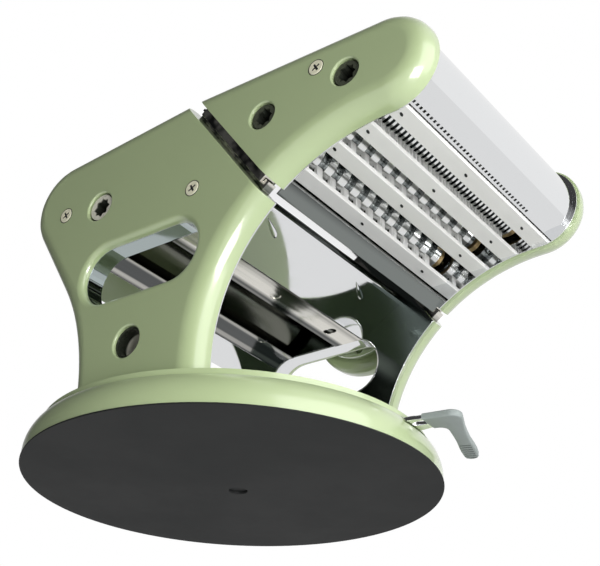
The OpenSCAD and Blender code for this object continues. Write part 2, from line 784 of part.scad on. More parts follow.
// Foot: a shallow dome on the pad, with a plateau for the cheeks and a slot for the lever
module base_dome() {
    rim_turn = asin((plateau_z - plateau_step - pad_t) / rim_r);
    rim = arc([rim_centre_r, pad_t], rim_r, 0, rim_turn, arc_steps);
    hollow = arc([rim_centre_r, pad_t], rim_r - rim_wall, rim_turn, 0, arc_steps);
    slot_play = asin((lever_half + lever_play) / (foot_r - rim_r / 2));
    color([0.66, 0.75, 0.56]) difference() {
        rotate_extrude() polygon(concat(
            [[foot_r, pad_lip_t]], rim,
            [[plateau_r, plateau_z - plateau_step], [plateau_r, plateau_z], [0, plateau_z],
             [0, dome_in_z], [plateau_r - rim_wall, dome_in_z]],
            hollow, [[foot_r - rim_wall, pad_lip_t]]));
        rotate([0, 0, lever_rest - slot_play])
            rotate_extrude(angle = lever_swing + 2 * slot_play)
                translate([rim_centre_r - cut, lever_z - lever_play])
                    square([rim_r + 2 * cut, lever_t + 2 * lever_play]);
        for (x = foot_holes) for (y = [-foot_hole_y, foot_hole_y])
            translate([x, y, dome_in_z - cut]) cylinder(h = dome_wall + 2 * cut, r = screw_shank_r);
    }
}

// Bridge under the dome that guides the stem
boss_y = bridge_half - boss_r;
module base_bridge() {
    color([0.75, 0.76, 0.78]) difference() {
        union() {
            translate([-bridge_w / 2, -bridge_half, bridge_z])
                cube([bridge_w, 2 * bridge_half, bridge_t]);
            for (y = [-boss_y, boss_y])
                translate([0, y, bridge_z]) cylinder(h = dome_in_z - bridge_z, r = boss_r);
        }
        translate([0, 0, bridge_z - cut]) cylinder(h = bridge_t + 2 * cut, r = stem_r + run_play);
        for (y = [-boss_y, boss_y])
            translate([0, y, bridge_z - cut])
                cylinder(h = dome_in_z - bridge_z + 2 * cut, r = screw_shank_r);
    }
}
module bridge_screws() {
    color([0.6, 0.58, 0.52]) for (y = [-boss_y, boss_y]) {
        translate([0, y, bridge_z - screw_head_t]) cylinder(h = screw_head_t, r = screw_head_r);
        translate([0, y, bridge_z]) cylinder(h = dome_in_z - bridge_z, r = screw_shank_r);
    }
}

// Stem with its disc, which pulls the middle of the pad up
module lift_stem() {
    color([0.78, 0.79, 0.81]) difference() {
        union() {
            translate([0, 0, pad_t]) cylinder(h = disc_t, r = disc_r);
            translate([0, 0, disc_top]) cylinder(h = stem_top - disc_top, r = stem_r);
        }
        translate([0, -stem_r - cut, pin_z]) rotate([-90, 0, 0])
            cylinder(h = 2 * (stem_r + cut), r = pin_r);
    }
}
module lift_pin() {
    color([0.78, 0.79, 0.81])
        translate([0, -pin_half, pin_z]) rotate([-90, 0, 0]) cylinder(h = 2 * pin_half, r = pin_r);
}

// Ring with two ramps that lift the pin as the lever turns
ramp_overlap = ramp_floor / 4;
module ramp(turn) {
    steps = 2 * arc_steps;
    edge = ramp_out_r - ramp_seat;
    side = lever_swing / 2;
    from = 90 - lever_swing - side;
    to = 90 + side;
    loft([for (k = [0:steps])
        let (a = from + (to - from) * k / steps,
             rise = lift * min(1, max(0, (90 - a) / lever_swing)),
             top = ramp_z + rise, low = ramp_z - ramp_overlap, b = a + turn)
        [[ramp_in_r * cos(b), ramp_in_r * sin(b), low],
         [edge * cos(b), edge * sin(b), low],
         [edge * cos(b), edge * sin(b), top],
         [ramp_in_r * cos(b), ramp_in_r * sin(b), top]]]);
}
cup_r = ramp_out_r + cup_wall;
module lift_cam() {
    color([0.72, 0.73, 0.75]) union() {
        difference() {
            translate([0, 0, cam_z]) cylinder(h = lever_top - cam_z, r = cup_r);
            translate([0, 0, ramp_z]) cylinder(h = lever_top, r = ramp_out_r);
            translate([0, 0, cam_z - cut]) cylinder(h = ramp_floor + 2 * cut, r = stem_r + run_play);
        }
        for (turn = [0, 180]) ramp(turn);
    }
}

// Lever: flat steel with a bent arm outside the foot and a sleeve over corner and arm
module lever_flat() {
    polygon([[ramp_out_r + cup_wall / 2, -lever_inner_half], [rim_centre_r, -lever_inner_half],
             [foot_r - rim_r / 2, -lever_half], [foot_r, -lever_half],
             [lever_reach, -lever_corner_r], [lever_reach, lever_corner_r],
             [foot_r, lever_half], [foot_r - rim_r / 2, lever_half],
             [rim_centre_r, lever_inner_half], [ramp_out_r + cup_wall / 2, lever_inner_half]]);
    translate([lever_reach, 0]) {
        circle(r = lever_corner_r);
        rotate(arm_turn) {
            translate([0, -arm_half]) square([arm_len, 2 * arm_half]);
            translate([arm_len, 0]) circle(r = arm_half);
        }
    }
}
module lever_eye() {
    polygon([for (k = [0:eye_steps - 1]) let (a = 360 * k / eye_steps)
        [foot_r + eye_out + eye_half_len * cos(a), -eye_half / 2 + eye_half * sin(a)]]);
}
module lift_lever() {
    color([0.8, 0.81, 0.83]) rotate([0, 0, lever_rest]) translate([0, 0, lever_z]) {
        difference() {
            linear_extrude(height = lever_t) lever_flat();
            translate([0, 0, -cut]) cylinder(h = lever_t + 2 * cut, r = cup_r);
            translate([0, 0, -cut]) linear_extrude(height = lever_t + 2 * cut) lever_eye();
        }
    }
}
module grip_flat() {
    circle(r = lever_corner_r + grip_wall);
    rotate(arm_turn) {
        polygon(concat(
            [for (k = [0:grip_last]) [grip_shares[k] * grip_end, -grip_halves[k]]],
            [for (k = [grip_last:-1:0]) [grip_shares[k] * grip_end, grip_halves[k]]]));
        translate([grip_end, 0]) circle(r = grip_tip_r);
    }
}
module lever_grip() {
    color([0.55, 0.56, 0.57]) rotate([0, 0, lever_rest]) translate([0, 0, lever_z]) {
        difference() {
            translate([lever_reach, 0, (lever_t - grip_h) / 2]) linear_extrude(height = grip_h)
                grip_flat();
            linear_extrude(height = lever_t) lever_flat();
        }
    }
}

// Cheek covers
module near_cover() {
    color([0.66, 0.75, 0.56]) on_side(-1) difference() {
        body_cover_blank();
        crank_hole(drive, crank_hole_r);
        crank_hole([park_x, park_z], park_r + park_wall + run_play);
        screw_seats(near_screws);
    }
}
module far_cover() {
    color([0.66, 0.75, 0.56]) difference() {
        body_cover_blank();
        rod_y(knob_axis, bush_r, cavity_y - cut, cover_out + cut);
        screw_seats(far_screws);
    }
}

// Side plates with inward foot flanges and posts for the cover screws
block_window = block_half + slide_play;
bar_z = roller_z + gear_tip_r + bar_gap;
bar_from = carriage_rod_x - carriage_rod_r - sheet_t / 2;
bar_to = bar_from + tongue_w;
module body_plate(screws) {
    color([0.8, 0.81, 0.83]) {
        difference() {
            union() {
                along_y(plate_in, plate_out) polygon(body_outline(plate_inset));
                translate([waist[0] + waist_r + cover_wall, plate_in - flange_w, foot_z])
                    cube([foot_front_x - waist[0] - waist_r - 2 * cover_wall, flange_w + touch,
                          plate_t]);
            }
            along_y(plate_in - cut, plate_out + cut) polygon(slot_outline(collar_t));
            rod_y(drive, bush_r, plate_in - cut, plate_out + cut);
            translate([adj_x - block_window - gap_travel, plate_in - cut,
                       roller_z - block_window])
                cube([2 * block_window + gap_travel, plate_t + 2 * cut, 2 * block_window]);
            for (p = body_ties) rod_y(p, tie_r, plate_in - cut, plate_out + cut);
            for (x = foot_holes)
                translate([x, foot_hole_y, foot_z - cut])
                    cylinder(h = plate_t + 2 * cut, r = screw_shank_r);
        }
        for (p = screws) post(p);
    }
}
module near_plate() {
    on_side(-1) body_plate(near_screws);
}
module far_plate() {
    difference() {
        body_plate(far_screws);
        translate([bar_from - gap_travel - slide_play, plate_in - cut, bar_z - slide_play])
            cube([bar_to - bar_from + gap_travel + 2 * slide_play, plate_t + 2 * cut,
                  bar_h + 2 * slide_play]);
    }
}
module slot_collar() {
    color([0.82, 0.83, 0.85]) along_y(plate_in, cavity_y) difference() {
        polygon(slot_outline(collar_t));
        polygon(slot_outline(0));
    }
}
module near_slot_collar() {
    on_side(-1) slot_collar();
}
module far_slot_collar() {
    slot_collar();
}
module foot_screws() {
    color([0.6, 0.58, 0.52]) for (x = foot_holes) for (y = [-foot_hole_y, foot_hole_y]) {
        translate([x, y, flange_z]) cylinder(h = foot_head_t, r = foot_head_r);
        translate([x, y, dome_in_z]) cylinder(h = flange_z - dome_in_z, r = screw_shank_r);
    }
}
module tie_rods() {
    color([0.75, 0.76, 0.78]) for (p = body_ties) rod_y(p, tie_r, -plate_out, plate_out);
}
module cover_screws() {
    color([0.7, 0.64, 0.5]) {
        on_side(-1) for (p = near_screws) cover_screw(p);
        for (p = far_screws) cover_screw(p);
    }
}

// Chromed sheets between the plates
module sheet(path) {
    color([0.82, 0.83, 0.85]) along_y(-plate_in, plate_in) polygon(band(path, sheet_t));
}
function bend(a, b, c, len, steps) =
    let (p = b + len * unit(a - b), q = b + len * unit(c - b))
    [for (k = [0:steps]) let (t = k / steps) (1 - t) * (1 - t) * p + 2 * t * (1 - t) * b + t * t * q];
front_top_z = top_at(hopper_front_x, 0) - top_sink;
apron_low = [apron_low_x, low_z];
apron_bend = [joint_at(apron_bend_z, -apron_depth), apron_bend_z];
apron_top_z = front_top_z - sheet_t - sheet_gap;
apron_top = [joint_at(apron_top_z, -apron_depth), apron_top_z];
module front_apron() {
    sheet(concat([apron_low], bend(apron_low, apron_bend, apron_top, apron_bend_r, arc_steps),
                 [apron_top]));
}
lip_turn = 55;
module front_hopper_plate() {
    lip_r = roller_r + gap_travel + lip_gap + sheet_t;
    sheet([[joint_at(front_top_z, -apron_depth), front_top_z],
           [hopper_front_x, front_top_z],
           adj + lip_r * [-cos(lip_turn), sin(lip_turn)]]);
}
rear_arc_r = nose_r - rear_sink;
rear_top = nose + rear_arc_r * [-sin(top_slope), cos(top_slope)];
rear_flank = nose + rear_arc_r * flank_normal + (flank_len - cover_edge_r / 2) * flank_dir;
module rear_panel() {
    sheet(concat(arc(nose, rear_arc_r, 90 + top_slope, 180 + flank_slope, 2 * arc_steps),
                 [rear_flank, [scraper_rear_x - scraper_w - sheet_gap, low_z]]));
}
module rear_hopper_plate() {
    lip_r = roller_r + lip_gap + sheet_t;
    sheet([drive + lip_r * [cos(lip_turn), sin(lip_turn)],
           [hopper_rear_x, top_at(hopper_rear_x, 0) - top_sink],
           [rear_top[0] + sheet_gap, top_at(rear_top[0], 0) - top_sink]]);
}

// Scrapers below the rollers
blade_turn = 8;
module scraper(edge, side, axis) {
    tip = axis + (roller_r + scraper_gap + sheet_t) * [-side * sin(blade_turn), -cos(blade_turn)];
    top = low_z + sheet_t;
    color([0.82, 0.83, 0.85]) along_y(-plate_in, plate_in)
        polygon([[edge, low_z], [edge + side * scraper_w, low_z], [edge + side * scraper_w, top],
                 [edge + 3 * side * sheet_t, top], tip + [side * sheet_t, -sheet_t / 2], tip,
                 [edge + side * sheet_t, top], [edge, top]]);
}
module front_scraper() {
    difference() {
        scraper(scraper_front_x, 1, adj);
        for (x = [-scraper_hole_r / 2, scraper_hole_r / 2])
            translate([scraper_front_x + scraper_w / 2 + x, plate_in - scraper_hole_in, low_z - cut])
                cylinder(h = sheet_t + 2 * cut, r = scraper_hole_r);
    }
}
module rear_scraper() {
    scraper(scraper_rear_x, -1, drive);
}
module flanged_bush(at, r_out, r_in) {
    difference() {
        union() {
            rod_y(at, r_out, plate_in, plate_out);
            rod_y(at, r_out + bush_flange, plate_in - bush_flange_t, plate_in);
        }
        rod_y(at, r_in, plate_in - bush_flange_t - cut, plate_out + cut);
    }
}
module roller_bushes() {
    color([0.72, 0.6, 0.35]) for (side = [-1, 1])
        on_side(side) flanged_bush(drive, bush_r, shaft_r + run_play);
}
module park_socket() {
    at = [park_x, park_z];
    color([0.82, 0.83, 0.85]) on_side(-1) difference() {
        union() {
            rod_y(at, park_r + park_wall, plate_out, cover_out - park_sink);
            rod_y(at, park_r + park_wall + park_flange, plate_out, plate_out + park_wall);
        }
        rod_y(at, park_r, plate_out - cut, cover_out);
    }
}

// Rails on the body's joint face, and the channels that slide on them
rail_y = plate_out + rail_play + channel_t + rail_w / 2;
channel_back = joint_gap - channel_t;
head_top = channel_back - rail_play;
head_low = head_top - rail_head_t;
lip_top = head_low - rail_play;
module on_joint_block(y_from, y_to, out_from, out_to, up_from, up_to) {
    along_y(y_from, y_to) polygon([on_joint(out_from, up_from), on_joint(out_to, up_from),
                                   on_joint(out_to, up_to), on_joint(out_from, up_to)]);
}
rail_foot = rail_stop - rail_low;
module joint_rails() {
    color([0.82, 0.83, 0.85]) for (side = [-1, 1]) on_side(side) union() {
        on_joint_block(rail_y - rail_web / 2, rail_y + rail_web / 2, 0, head_low + touch,
                       rail_foot - touch, -rail_top);
        on_joint_block(rail_y - rail_w / 2, rail_y + rail_w / 2, head_low, head_top,
                       rail_foot - touch, -rail_top);
        on_joint_block(rail_y - rail_w / 2, rail_y + rail_w / 2, 0, head_top,
                       -rail_low, rail_foot);
    }
}
module cutter_channels() {
    in_half = rail_w / 2 + rail_play;
    out_half = in_half + channel_t;
    web_half = rail_web / 2 + rail_play;
    lip_low = lip_top - channel_t;
    from = rail_foot;
    color([0.82, 0.83, 0.85]) for (side = [-1, 1]) on_side(side) difference() {
        on_joint_block(rail_y - out_half, rail_y + out_half, lip_low, joint_gap,
                       from, -channel_top);
        on_joint_block(rail_y - in_half, rail_y + in_half, lip_top, channel_back,
                       from - cut, cut - channel_top);
        on_joint_block(rail_y - web_half, rail_y + web_half, lip_low - cut, lip_top + cut,
                       from - cut, cut - channel_top);
    }
}

// Gear with involute teeth, drawn in its own plane
function involute(a) = tan(a) * 180 / PI - a;
function flank_at(r, pitch_r, half) =
    let (base = pitch_r * cos(gear_angle))
    half + involute(gear_angle) - involute(acos(min(1, base / r)));
module gear(teeth, pitch_r, tip_r, root_r, phase) {
    base = pitch_r * cos(gear_angle);
    foot = max(base, root_r);
    half = 90 / teeth - gear_flank_play / 4 / pitch_r * 180 / PI;
    steps = 4;
    radii = [for (k = [0:steps]) foot + (tip_r - foot) * k / steps];
    offsets = [for (r = radii) flank_at(r, pitch_r, half)];
    polygon([for (t = [0:teeth - 1]) let (mid = phase + 360 * t / teeth) each concat(
        [root_r * [cos(mid - offsets[0]), sin(mid - offsets[0])]],
        [for (k = [0:steps]) radii[k] * [cos(mid - offsets[k]), sin(mid - offsets[k])]],
        [for (k = [steps:-1:0]) radii[k] * [cos(mid + offsets[k]), sin(mid + offsets[k])]],
        [root_r * [cos(mid + offsets[0]), sin(mid + offsets[0])]])]);
}
module gear_y(at, r_in, from, to, teeth, pitch_r, tip_r, root_r, phase) {
    along_y(from, to) translate(at) difference() {
        gear(teeth, pitch_r, tip_r, root_r, phase);
        circle(r = r_in);
    }
}

// Dough rollers
near_end = plate_out + slide_play;
module drive_roller() {
    color([0.8, 0.81, 0.83]) union() {
        rod_y(drive, roller_r, -roller_len / 2, roller_len / 2);
        rod_y(drive, shaft_r, -near_end, gear_end + slide_play);
    }
}
module socket(at, r, square_side) {
    end = cover_out - socket_sink;
    color([0.84, 0.85, 0.86]) on_side(-1) difference() {
        rod_y(at, r, near_end, end);
        for (a = [0, 45]) translate([at[0], end - socket_depth, at[1]]) rotate([0, a, 0])
            translate([-square_side / 2, 0, -square_side / 2])
                cube([square_side, socket_depth + cut, square_side]);
    }
}
module drive_socket() {
    socket(drive, socket_r, socket_square);
}
module drive_gear() {
    color([0.7, 0.71, 0.72])
        gear_y(drive, shaft_r, gear_y, gear_end, gear_teeth, gear_pitch_r, gear_tip_r, gear_root_r, 0);
}
module adjustable_roller() {
    color([0.8, 0.81, 0.83]) union() {
        rod_y(adj, roller_r, -roller_len / 2, roller_len / 2);
        rod_y(adj, shaft_r, slide_play - plate_in, gear_end + slide_play);
    }
}
module adjustable_gear() {
    color([0.7, 0.71, 0.72]) gear_y(adj, shaft_r, gear_y, gear_end, gear_teeth, gear_pitch_r,
                                    gear_tip_r, gear_root_r, 180 / gear_teeth);
}

// Carriage that moves the second roller
block_in = roller_len / 2 + block_gap;
block_out = plate_in - slide_play;
lip_half = block_half + block_lip;
tongue_top = bar_z + bar_h;
module gap_blocks() {
    color([0.6, 0.61, 0.62]) for (side = [-1, 1]) on_side(side) difference() {
        union() {
            translate([adj_x - lip_half, block_in, roller_z - lip_half])
                cube([2 * lip_half, block_out - block_in, 2 * lip_half]);
            translate([adj_x - block_half, block_out - touch, roller_z - block_half])
                cube([2 * block_half, plate_out - block_out, 2 * block_half]);
            translate([bar_from, block_in, roller_z])
                cube([tongue_w, block_out - block_in, tongue_top - roller_z]);
        }
        rod_y(adj, shaft_r + run_play, block_in - cut, plate_out + cut);
    }
}
module gap_tie_rod() {
    color([0.75, 0.76, 0.78])
        rod_y([carriage_rod_x, carriage_rod_z], carriage_rod_r, -block_in, block_in);
}
window_half = cam_r + cam_play;
window_rise = window_half + eccentric;
module gap_yoke() {
    low = roller_z - window_rise - yoke_drop;
    color([0.6, 0.61, 0.62]) difference() {
        union() {
            translate([bar_from, block_out, bar_z]) cube([tongue_w, yoke_end - block_out, bar_h]);
            translate([adj_x - yoke_w / 2, yoke_y, low]) cube([yoke_w, yoke_t, bar_z + touch - low]);
        }
        translate([adj_x - window_half, yoke_y - cut, roller_z - window_rise])
            cube([2 * window_half, yoke_t + 2 * cut, 2 * window_rise]);
    }
}

// Gap knob, its hub and its index ring
screw_seat_y = knob_face - knob_screw_sink - knob_screw_t;
hub_shoulder = knob_back - seat;
spring_room = 2 * (spring_turns + 1) * spring_wire_r + knob_pull + seat;
knob_floor = knob_t - knob_screw_sink - knob_screw_t - spring_room;
module knob_bush() {
    color([0.72, 0.6, 0.35]) difference() {
        union() {
            rod_y(knob_axis, bush_r, cavity_y, cover_out);
            rod_y(knob_axis, bush_r + bush_flange, yoke_end + seat, cavity_y);
        }
        rod_y(knob_axis, shaft_r + run_play, yoke_end, cover_out + cut);
    }
}
module index_ring() {
    color([0.82, 0.83, 0.85]) difference() {
        tube_y(knob_axis, index_r + index_w / 2, index_r - index_w / 2, cover_out,
               cover_out + index_t);
        for (k = [0:index_count - 1])
            rod_y(knob_axis + index_r * [cos(360 * k / index_count), sin(360 * k / index_count)],
                  index_pin_r + index_play, cover_out - cut, cover_out + index_t + cut);
    }
}
module knob_hub() {
    color([0.75, 0.76, 0.78]) difference() {
        union() {
            rod_y(knob_axis + [eccentric, 0], cam_r, yoke_y, yoke_end);
            rod_y(knob_axis, shaft_r, yoke_end, hub_shoulder);
            rod_y(knob_axis, hub_tip_r, hub_shoulder, screw_seat_y);
        }
        rod_y(knob_axis, knob_shank_r, hub_shoulder, screw_seat_y + cut);
    }
}
module gap_knob() {
    ring = arc([knob_r - knob_edge_r, knob_t - knob_edge_r], knob_edge_r, 0, 90, edge_steps);
    low_ring = arc([knob_r - knob_edge_r, knob_edge_r], knob_edge_r, -90, 0, edge_steps);
    pin_end = cover_out + index_t + index_gap;
    color([0.66, 0.75, 0.56]) union() {
        turned_y(knob_axis, knob_back) polygon(concat(
            [[hub_tip_r + run_play, 0]], low_ring, ring,
            [[knob_pocket_r, knob_t], [knob_pocket_r, knob_floor],
             [hub_tip_r + run_play, knob_floor]]));
        for (side = [-1, 1])
            rod_y(knob_axis + side * [index_r, 0], index_pin_r, pin_end, knob_back + touch);
    }
}
module knob_spring() {
    mean_r = (hub_tip_r + knob_pocket_r) / 2;
    from = knob_back + knob_floor + spring_wire_r + touch;
    to = screw_seat_y - spring_wire_r - touch;
    per_turn = 12;
    sides = 6;
    steps = per_turn * spring_turns;
    color([0.5, 0.51, 0.52])
        translate([knob_axis[0], from, knob_axis[1]]) rotate([-90, 0, 0])
            loft([for (k = [0:steps]) let (a = 360 * k / per_turn, z = (to - from) * k / steps)
                [for (j = [0:sides - 1]) let (b = 360 * j / sides, r = mean_r + spring_wire_r * cos(b))
                    [r * cos(a), r * sin(a), z + spring_wire_r * sin(b)]]]);
}
module knob_screw() {
    top = screw_seat_y + knob_screw_t;
    color([0.7, 0.64, 0.5]) difference() {
        union() {
            rod_y(knob_axis, knob_screw_r, screw_seat_y, top);
            rod_y(knob_axis, knob_shank_r, hub_shoulder + seat, screw_seat_y);
        }
        for (a = [0, 90])
            translate([knob_axis[0], top - cross_depth, knob_axis[1]]) rotate([0, a, 0])
                translate([-cross_len / 2, 0, -cross_w / 2])
                    cube([cross_len, cross_depth + cut, cross_w]);
    }
}

// Cutter head: covers and plates
module cutter_near_cover() {
    color([0.66, 0.75, 0.56]) on_side(-1) difference() {
        cutter_cover_blank();
        for (p = [wide, narrow]) crank_hole(p, cutter_hole_r);
        screw_seats(cutter_near_screws);
    }
}
module cutter_far_cover() {
    color([0.66, 0.75, 0.56]) difference() {
        cutter_cover_blank();
        screw_seats(cutter_far_screws);
    }
}
cutter_axes = [wide, wide_mate, narrow, narrow_mate];
module cutter_plate(screws) {
    color([0.8, 0.81, 0.83]) {
        difference() {
            along_y(plate_in, plate_out) polygon(cutter_outline(plate_inset));
            for (p = cutter_axes) rod_y(p, cutter_bush_r, plate_in - cut, plate_out + cut);
            for (p = cutter_ties) rod_y(p, cutter_tie_r, plate_in - cut, plate_out + cut);
        }
        for (p = screws) post(p);
    }
}
module cutter_near_plate() {
    on_side(-1) cutter_plate(cutter_near_screws);
}
module cutter_far_plate() {
    cutter_plate(cutter_far_screws);
}
module cutter_cover_screws() {
    color([0.7, 0.64, 0.5]) {
        on_side(-1) for (p = cutter_near_screws) cover_screw(p);
        for (p = cutter_far_screws) cover_screw(p);
    }
}
module cutter_tie_rods() {
    color([0.75, 0.76, 0.78]) for (p = cutter_ties) rod_y(p, cutter_tie_r, -plate_out, plate_out);
}
module cutter_bushes() {
    color([0.72, 0.6, 0.35]) for (side = [-1, 1]) on_side(side) for (p = cutter_axes)
        flanged_bush(p, cutter_bush_r, cutter_shaft_r + run_play);
}

// Cutter head: sheets
housing_r = cutter_nose_r - housing_sink;
wide_mid = (wide + wide_mate) / 2;
narrow_mid = (narrow + narrow_mate) / 2;
deck_z = cutter_nose_z + housing_r;
lip_start = -50;
lip_tilt = 18;
lip_corner = cutter_nose + housing_r * [cos(lip_start), sin(lip_start)];
lip_edge = lip_corner - lip_run * [cos(lip_tilt), sin(lip_tilt)];
module cutter_housing() {
    mouth_turn = acos((narrow_mid[0] + mouth_w / 2 - cutter_nose_x) / housing_r);
    vent_at = lip_edge + vent_inset * unit(lip_corner - lip_edge);
    difference() {
        sheet(concat([lip_edge], arc(cutter_nose, housing_r, lip_start, mouth_turn, 2 * arc_steps)));
        for (k = [0:vent_count - 1])
            translate([vent_at[0], (k - (vent_count - 1) / 2) * vent_pitch - vent_shift, vent_at[1]])
                rotate([0, -lip_tilt, 0])
                    translate([-vent_side / 2, -vent_side / 2, -sheet_t])
                        cube([vent_side, vent_side, 3 * sheet_t]);
    }
}
panel_out = joint_gap + apron_depth;
panel_low = panel_rise - rail_low;
panel_top = deck_z - sheet_gap - sheet_t * (1 + joint_normal[1]);
module cutter_back_panel() {
    top = [joint_at(panel_top, panel_out), panel_top];
    sheet([top, on_joint(panel_out, panel_low), on_joint(joint_gap - panel_lip, panel_low)]);
}
module cutter_deck() {
    sheet([[wide_mid[0] - mouth_w / 4, deck_z - wide_lip], [wide_mid[0] - mouth_w / 2, deck_z],
           [joint_at(deck_z, panel_out), deck_z]]);
    sheet([[narrow_mid[0] - mouth_w / 4, deck_z - narrow_lip],
           [narrow_mid[0] - mouth_w / 2, deck_z], [wide_mid[0] + mouth_w / 2, deck_z],
           [wide_mid[0] + mouth_w / 4, deck_z - wide_lip]]);
}

// Cutting rollers: rings on a core, the rings of one in the grooves of the other
module cutting_rings(at, r, noodle, shift) {
    core = r - groove_depth;
    half = roller_len / 2;
    count = floor((roller_len / noodle - shift + 1) / 2);
    turned_y(at, -half) polygon(concat(
        [[0, 0], [core, 0]],
        [for (k = [0:count - 1]) let (a = (2 * k + shift) * noodle + ring_play,
                                      b = (2 * k + shift + 1) * noodle - ring_play)
            each [[core, a], [r, a], [r, b], [core, b]]],
        [[core, roller_len], [0, roller_len]]));
}
module cutter_roller(at, r, noodle, shift, near, gear_from, pitch, phase) {
    pitch_r = pitch / 2;
    color([0.8, 0.81, 0.83]) union() {
        cutting_rings(at, r, noodle, shift);
        rod_y(at, cutter_shaft_r, -near, gear_from + cutter_gear_t);
        along_y(gear_from, gear_from + cutter_gear_t) translate(at)
            gear(cutter_teeth, pitch_r, pitch_r + cutter_addendum,
                 pitch_r - cutter_addendum - gear_root_play, phase);
    }
}
half_tooth = 180 / cutter_teeth;
cutter_square = socket_square * cutter_socket_r / socket_r;
module wide_cutter() {
    cutter_roller(wide, wide_r, wide_noodle, 0, near_end, gear_y, wide_pitch, row_slope);
}
module wide_cutter_mate() {
    cutter_roller(wide_mate, wide_r, wide_noodle, 1, plate_out, gear_y, wide_pitch,
                  row_slope + half_tooth);
}
module narrow_cutter() {
    cutter_roller(narrow, narrow_r, narrow_noodle, 0, near_end, cutter_gear2_y, narrow_pitch,
                  row_slope);
}
module narrow_cutter_mate() {
    cutter_roller(narrow_mate, narrow_r, narrow_noodle, 1, plate_out, cutter_gear2_y, narrow_pitch,
                  row_slope + half_tooth);
}
module wide_socket() {
    socket(wide, cutter_socket_r, cutter_square);
}
module narrow_socket() {
    socket(narrow, cutter_socket_r, cutter_square);
}

// Combs whose teeth lie in the grooves of the cutting rollers
module comb(axis, offset_share, r, noodle, shift) {
    x = axis[0] + offset_share * comb_w;
    z = axis[1] - comb_drop;
    side = offset_share * comb_w;
    bed = r - groove_depth + comb_gap;
    tip = axis[1] - sqrt(bed * bed - side * side) - comb_tooth_t / 2;
    count = floor((roller_len / noodle - shift) / 2);
    tooth = comb_tooth_share * noodle;
    color([0.95, 0.95, 0.94]) union() {
        translate([x - comb_w / 2, -plate_in, z]) cube([comb_w, 2 * plate_in, comb_t]);
        for (k = [0:count - 1])
            translate([x - comb_tooth_t / 2,
                       (2 * k + 1.5 - shift) * noodle - (roller_len + tooth) / 2, z])
                cube([comb_tooth_t, tooth, tip - z]);
    }
}
module wide_combs() {
    comb(wide, comb_offset_shares[0], wide_r, wide_noodle, 0);
    comb(wide_mate, comb_offset_shares[1], wide_r, wide_noodle, 1);
}
module narrow_combs() {
    comb(narrow, comb_offset_shares[2], narrow_r, narrow_noodle, 0);
    comb(narrow_mate, comb_offset_shares[3], narrow_r, narrow_noodle, 1);
}

suction_pad();
base_dome();
base_bridge();
bridge_screws();
lift_stem();
lift_pin();
lift_cam();
lift_lever();
lever_grip();
near_cover();
far_cover();
near_plate();
far_plate();
near_slot_collar();
far_slot_collar();
foot_screws();
tie_rods();
cover_screws();
front_apron();
front_hopper_plate();
rear_panel();
rear_hopper_plate();
front_scraper();
rear_scraper();
roller_bushes();
park_socket();
joint_rails();
drive_roller();
drive_socket();
drive_gear();
adjustable_roller();
adjustable_gear();
gap_blocks();
gap_tie_rod();
gap_yoke();
knob_bush();
index_ring();
knob_hub();
gap_knob();
knob_spring();
knob_screw();
cutter_near_cover();
cutter_far_cover();
cutter_near_plate();
cutter_far_plate();
cutter_channels();
cutter_housing();
cutter_back_panel();
cutter_deck();
cutter_cover_screws();
cutter_tie_rods();
cutter_bushes();
wide_cutter();
wide_socket();
wide_cutter_mate();
narrow_cutter();
narrow_socket();
narrow_cutter_mate();
wide_combs();
narrow_combs();
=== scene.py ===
import json
import math

import bmesh
import bpy
from mathutils import Matrix, Vector

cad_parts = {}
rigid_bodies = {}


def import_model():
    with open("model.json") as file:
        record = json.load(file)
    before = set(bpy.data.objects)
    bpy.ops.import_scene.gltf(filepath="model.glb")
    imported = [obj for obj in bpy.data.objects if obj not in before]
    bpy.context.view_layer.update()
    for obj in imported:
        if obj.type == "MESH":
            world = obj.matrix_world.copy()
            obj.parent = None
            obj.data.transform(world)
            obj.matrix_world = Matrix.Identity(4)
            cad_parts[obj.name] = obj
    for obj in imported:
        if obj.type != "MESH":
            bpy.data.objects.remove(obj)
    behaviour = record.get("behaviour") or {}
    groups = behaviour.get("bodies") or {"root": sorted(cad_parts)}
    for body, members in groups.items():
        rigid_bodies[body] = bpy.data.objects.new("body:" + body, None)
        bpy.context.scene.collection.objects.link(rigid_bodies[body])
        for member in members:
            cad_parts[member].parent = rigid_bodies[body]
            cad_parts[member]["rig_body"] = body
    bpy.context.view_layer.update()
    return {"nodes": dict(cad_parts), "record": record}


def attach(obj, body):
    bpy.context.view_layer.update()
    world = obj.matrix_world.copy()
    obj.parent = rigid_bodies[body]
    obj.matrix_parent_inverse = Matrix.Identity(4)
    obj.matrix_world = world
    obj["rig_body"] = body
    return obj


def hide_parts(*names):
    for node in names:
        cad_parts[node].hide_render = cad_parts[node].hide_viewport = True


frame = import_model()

MM = 0.001

# Corners closer than this are one corner
WELD = 0.002 * MM

bl_info = {
    "name": "Pasta Machine",
    "version": (1, 0, 0),
    "blender": (4, 5, 0),
    "location": "View3D > Sidebar > Pasta Machine",
    "description": "Builds the finish and the small detail of a hand cranked pasta machine",
    "category": "Add Mesh",
}


# Sizes and colours that a user would change

def length(name, description, millimetres, low=0.0, high=1000.0):
    return bpy.props.FloatProperty(
        name=name, description=description, default=millimetres * MM, min=low * MM,
        max=high * MM, subtype="DISTANCE", unit="LENGTH", precision=5)


def tint(name, description, colour):
    return bpy.props.FloatVectorProperty(
        name=name, description=description, default=colour, size=3, min=0.0, max=1.0,
        subtype="COLOR")


def turn(name, description, degrees):
    return bpy.props.FloatProperty(
        name=name, description=description, default=math.radians(degrees), subtype="ANGLE",
        unit="ROTATION")


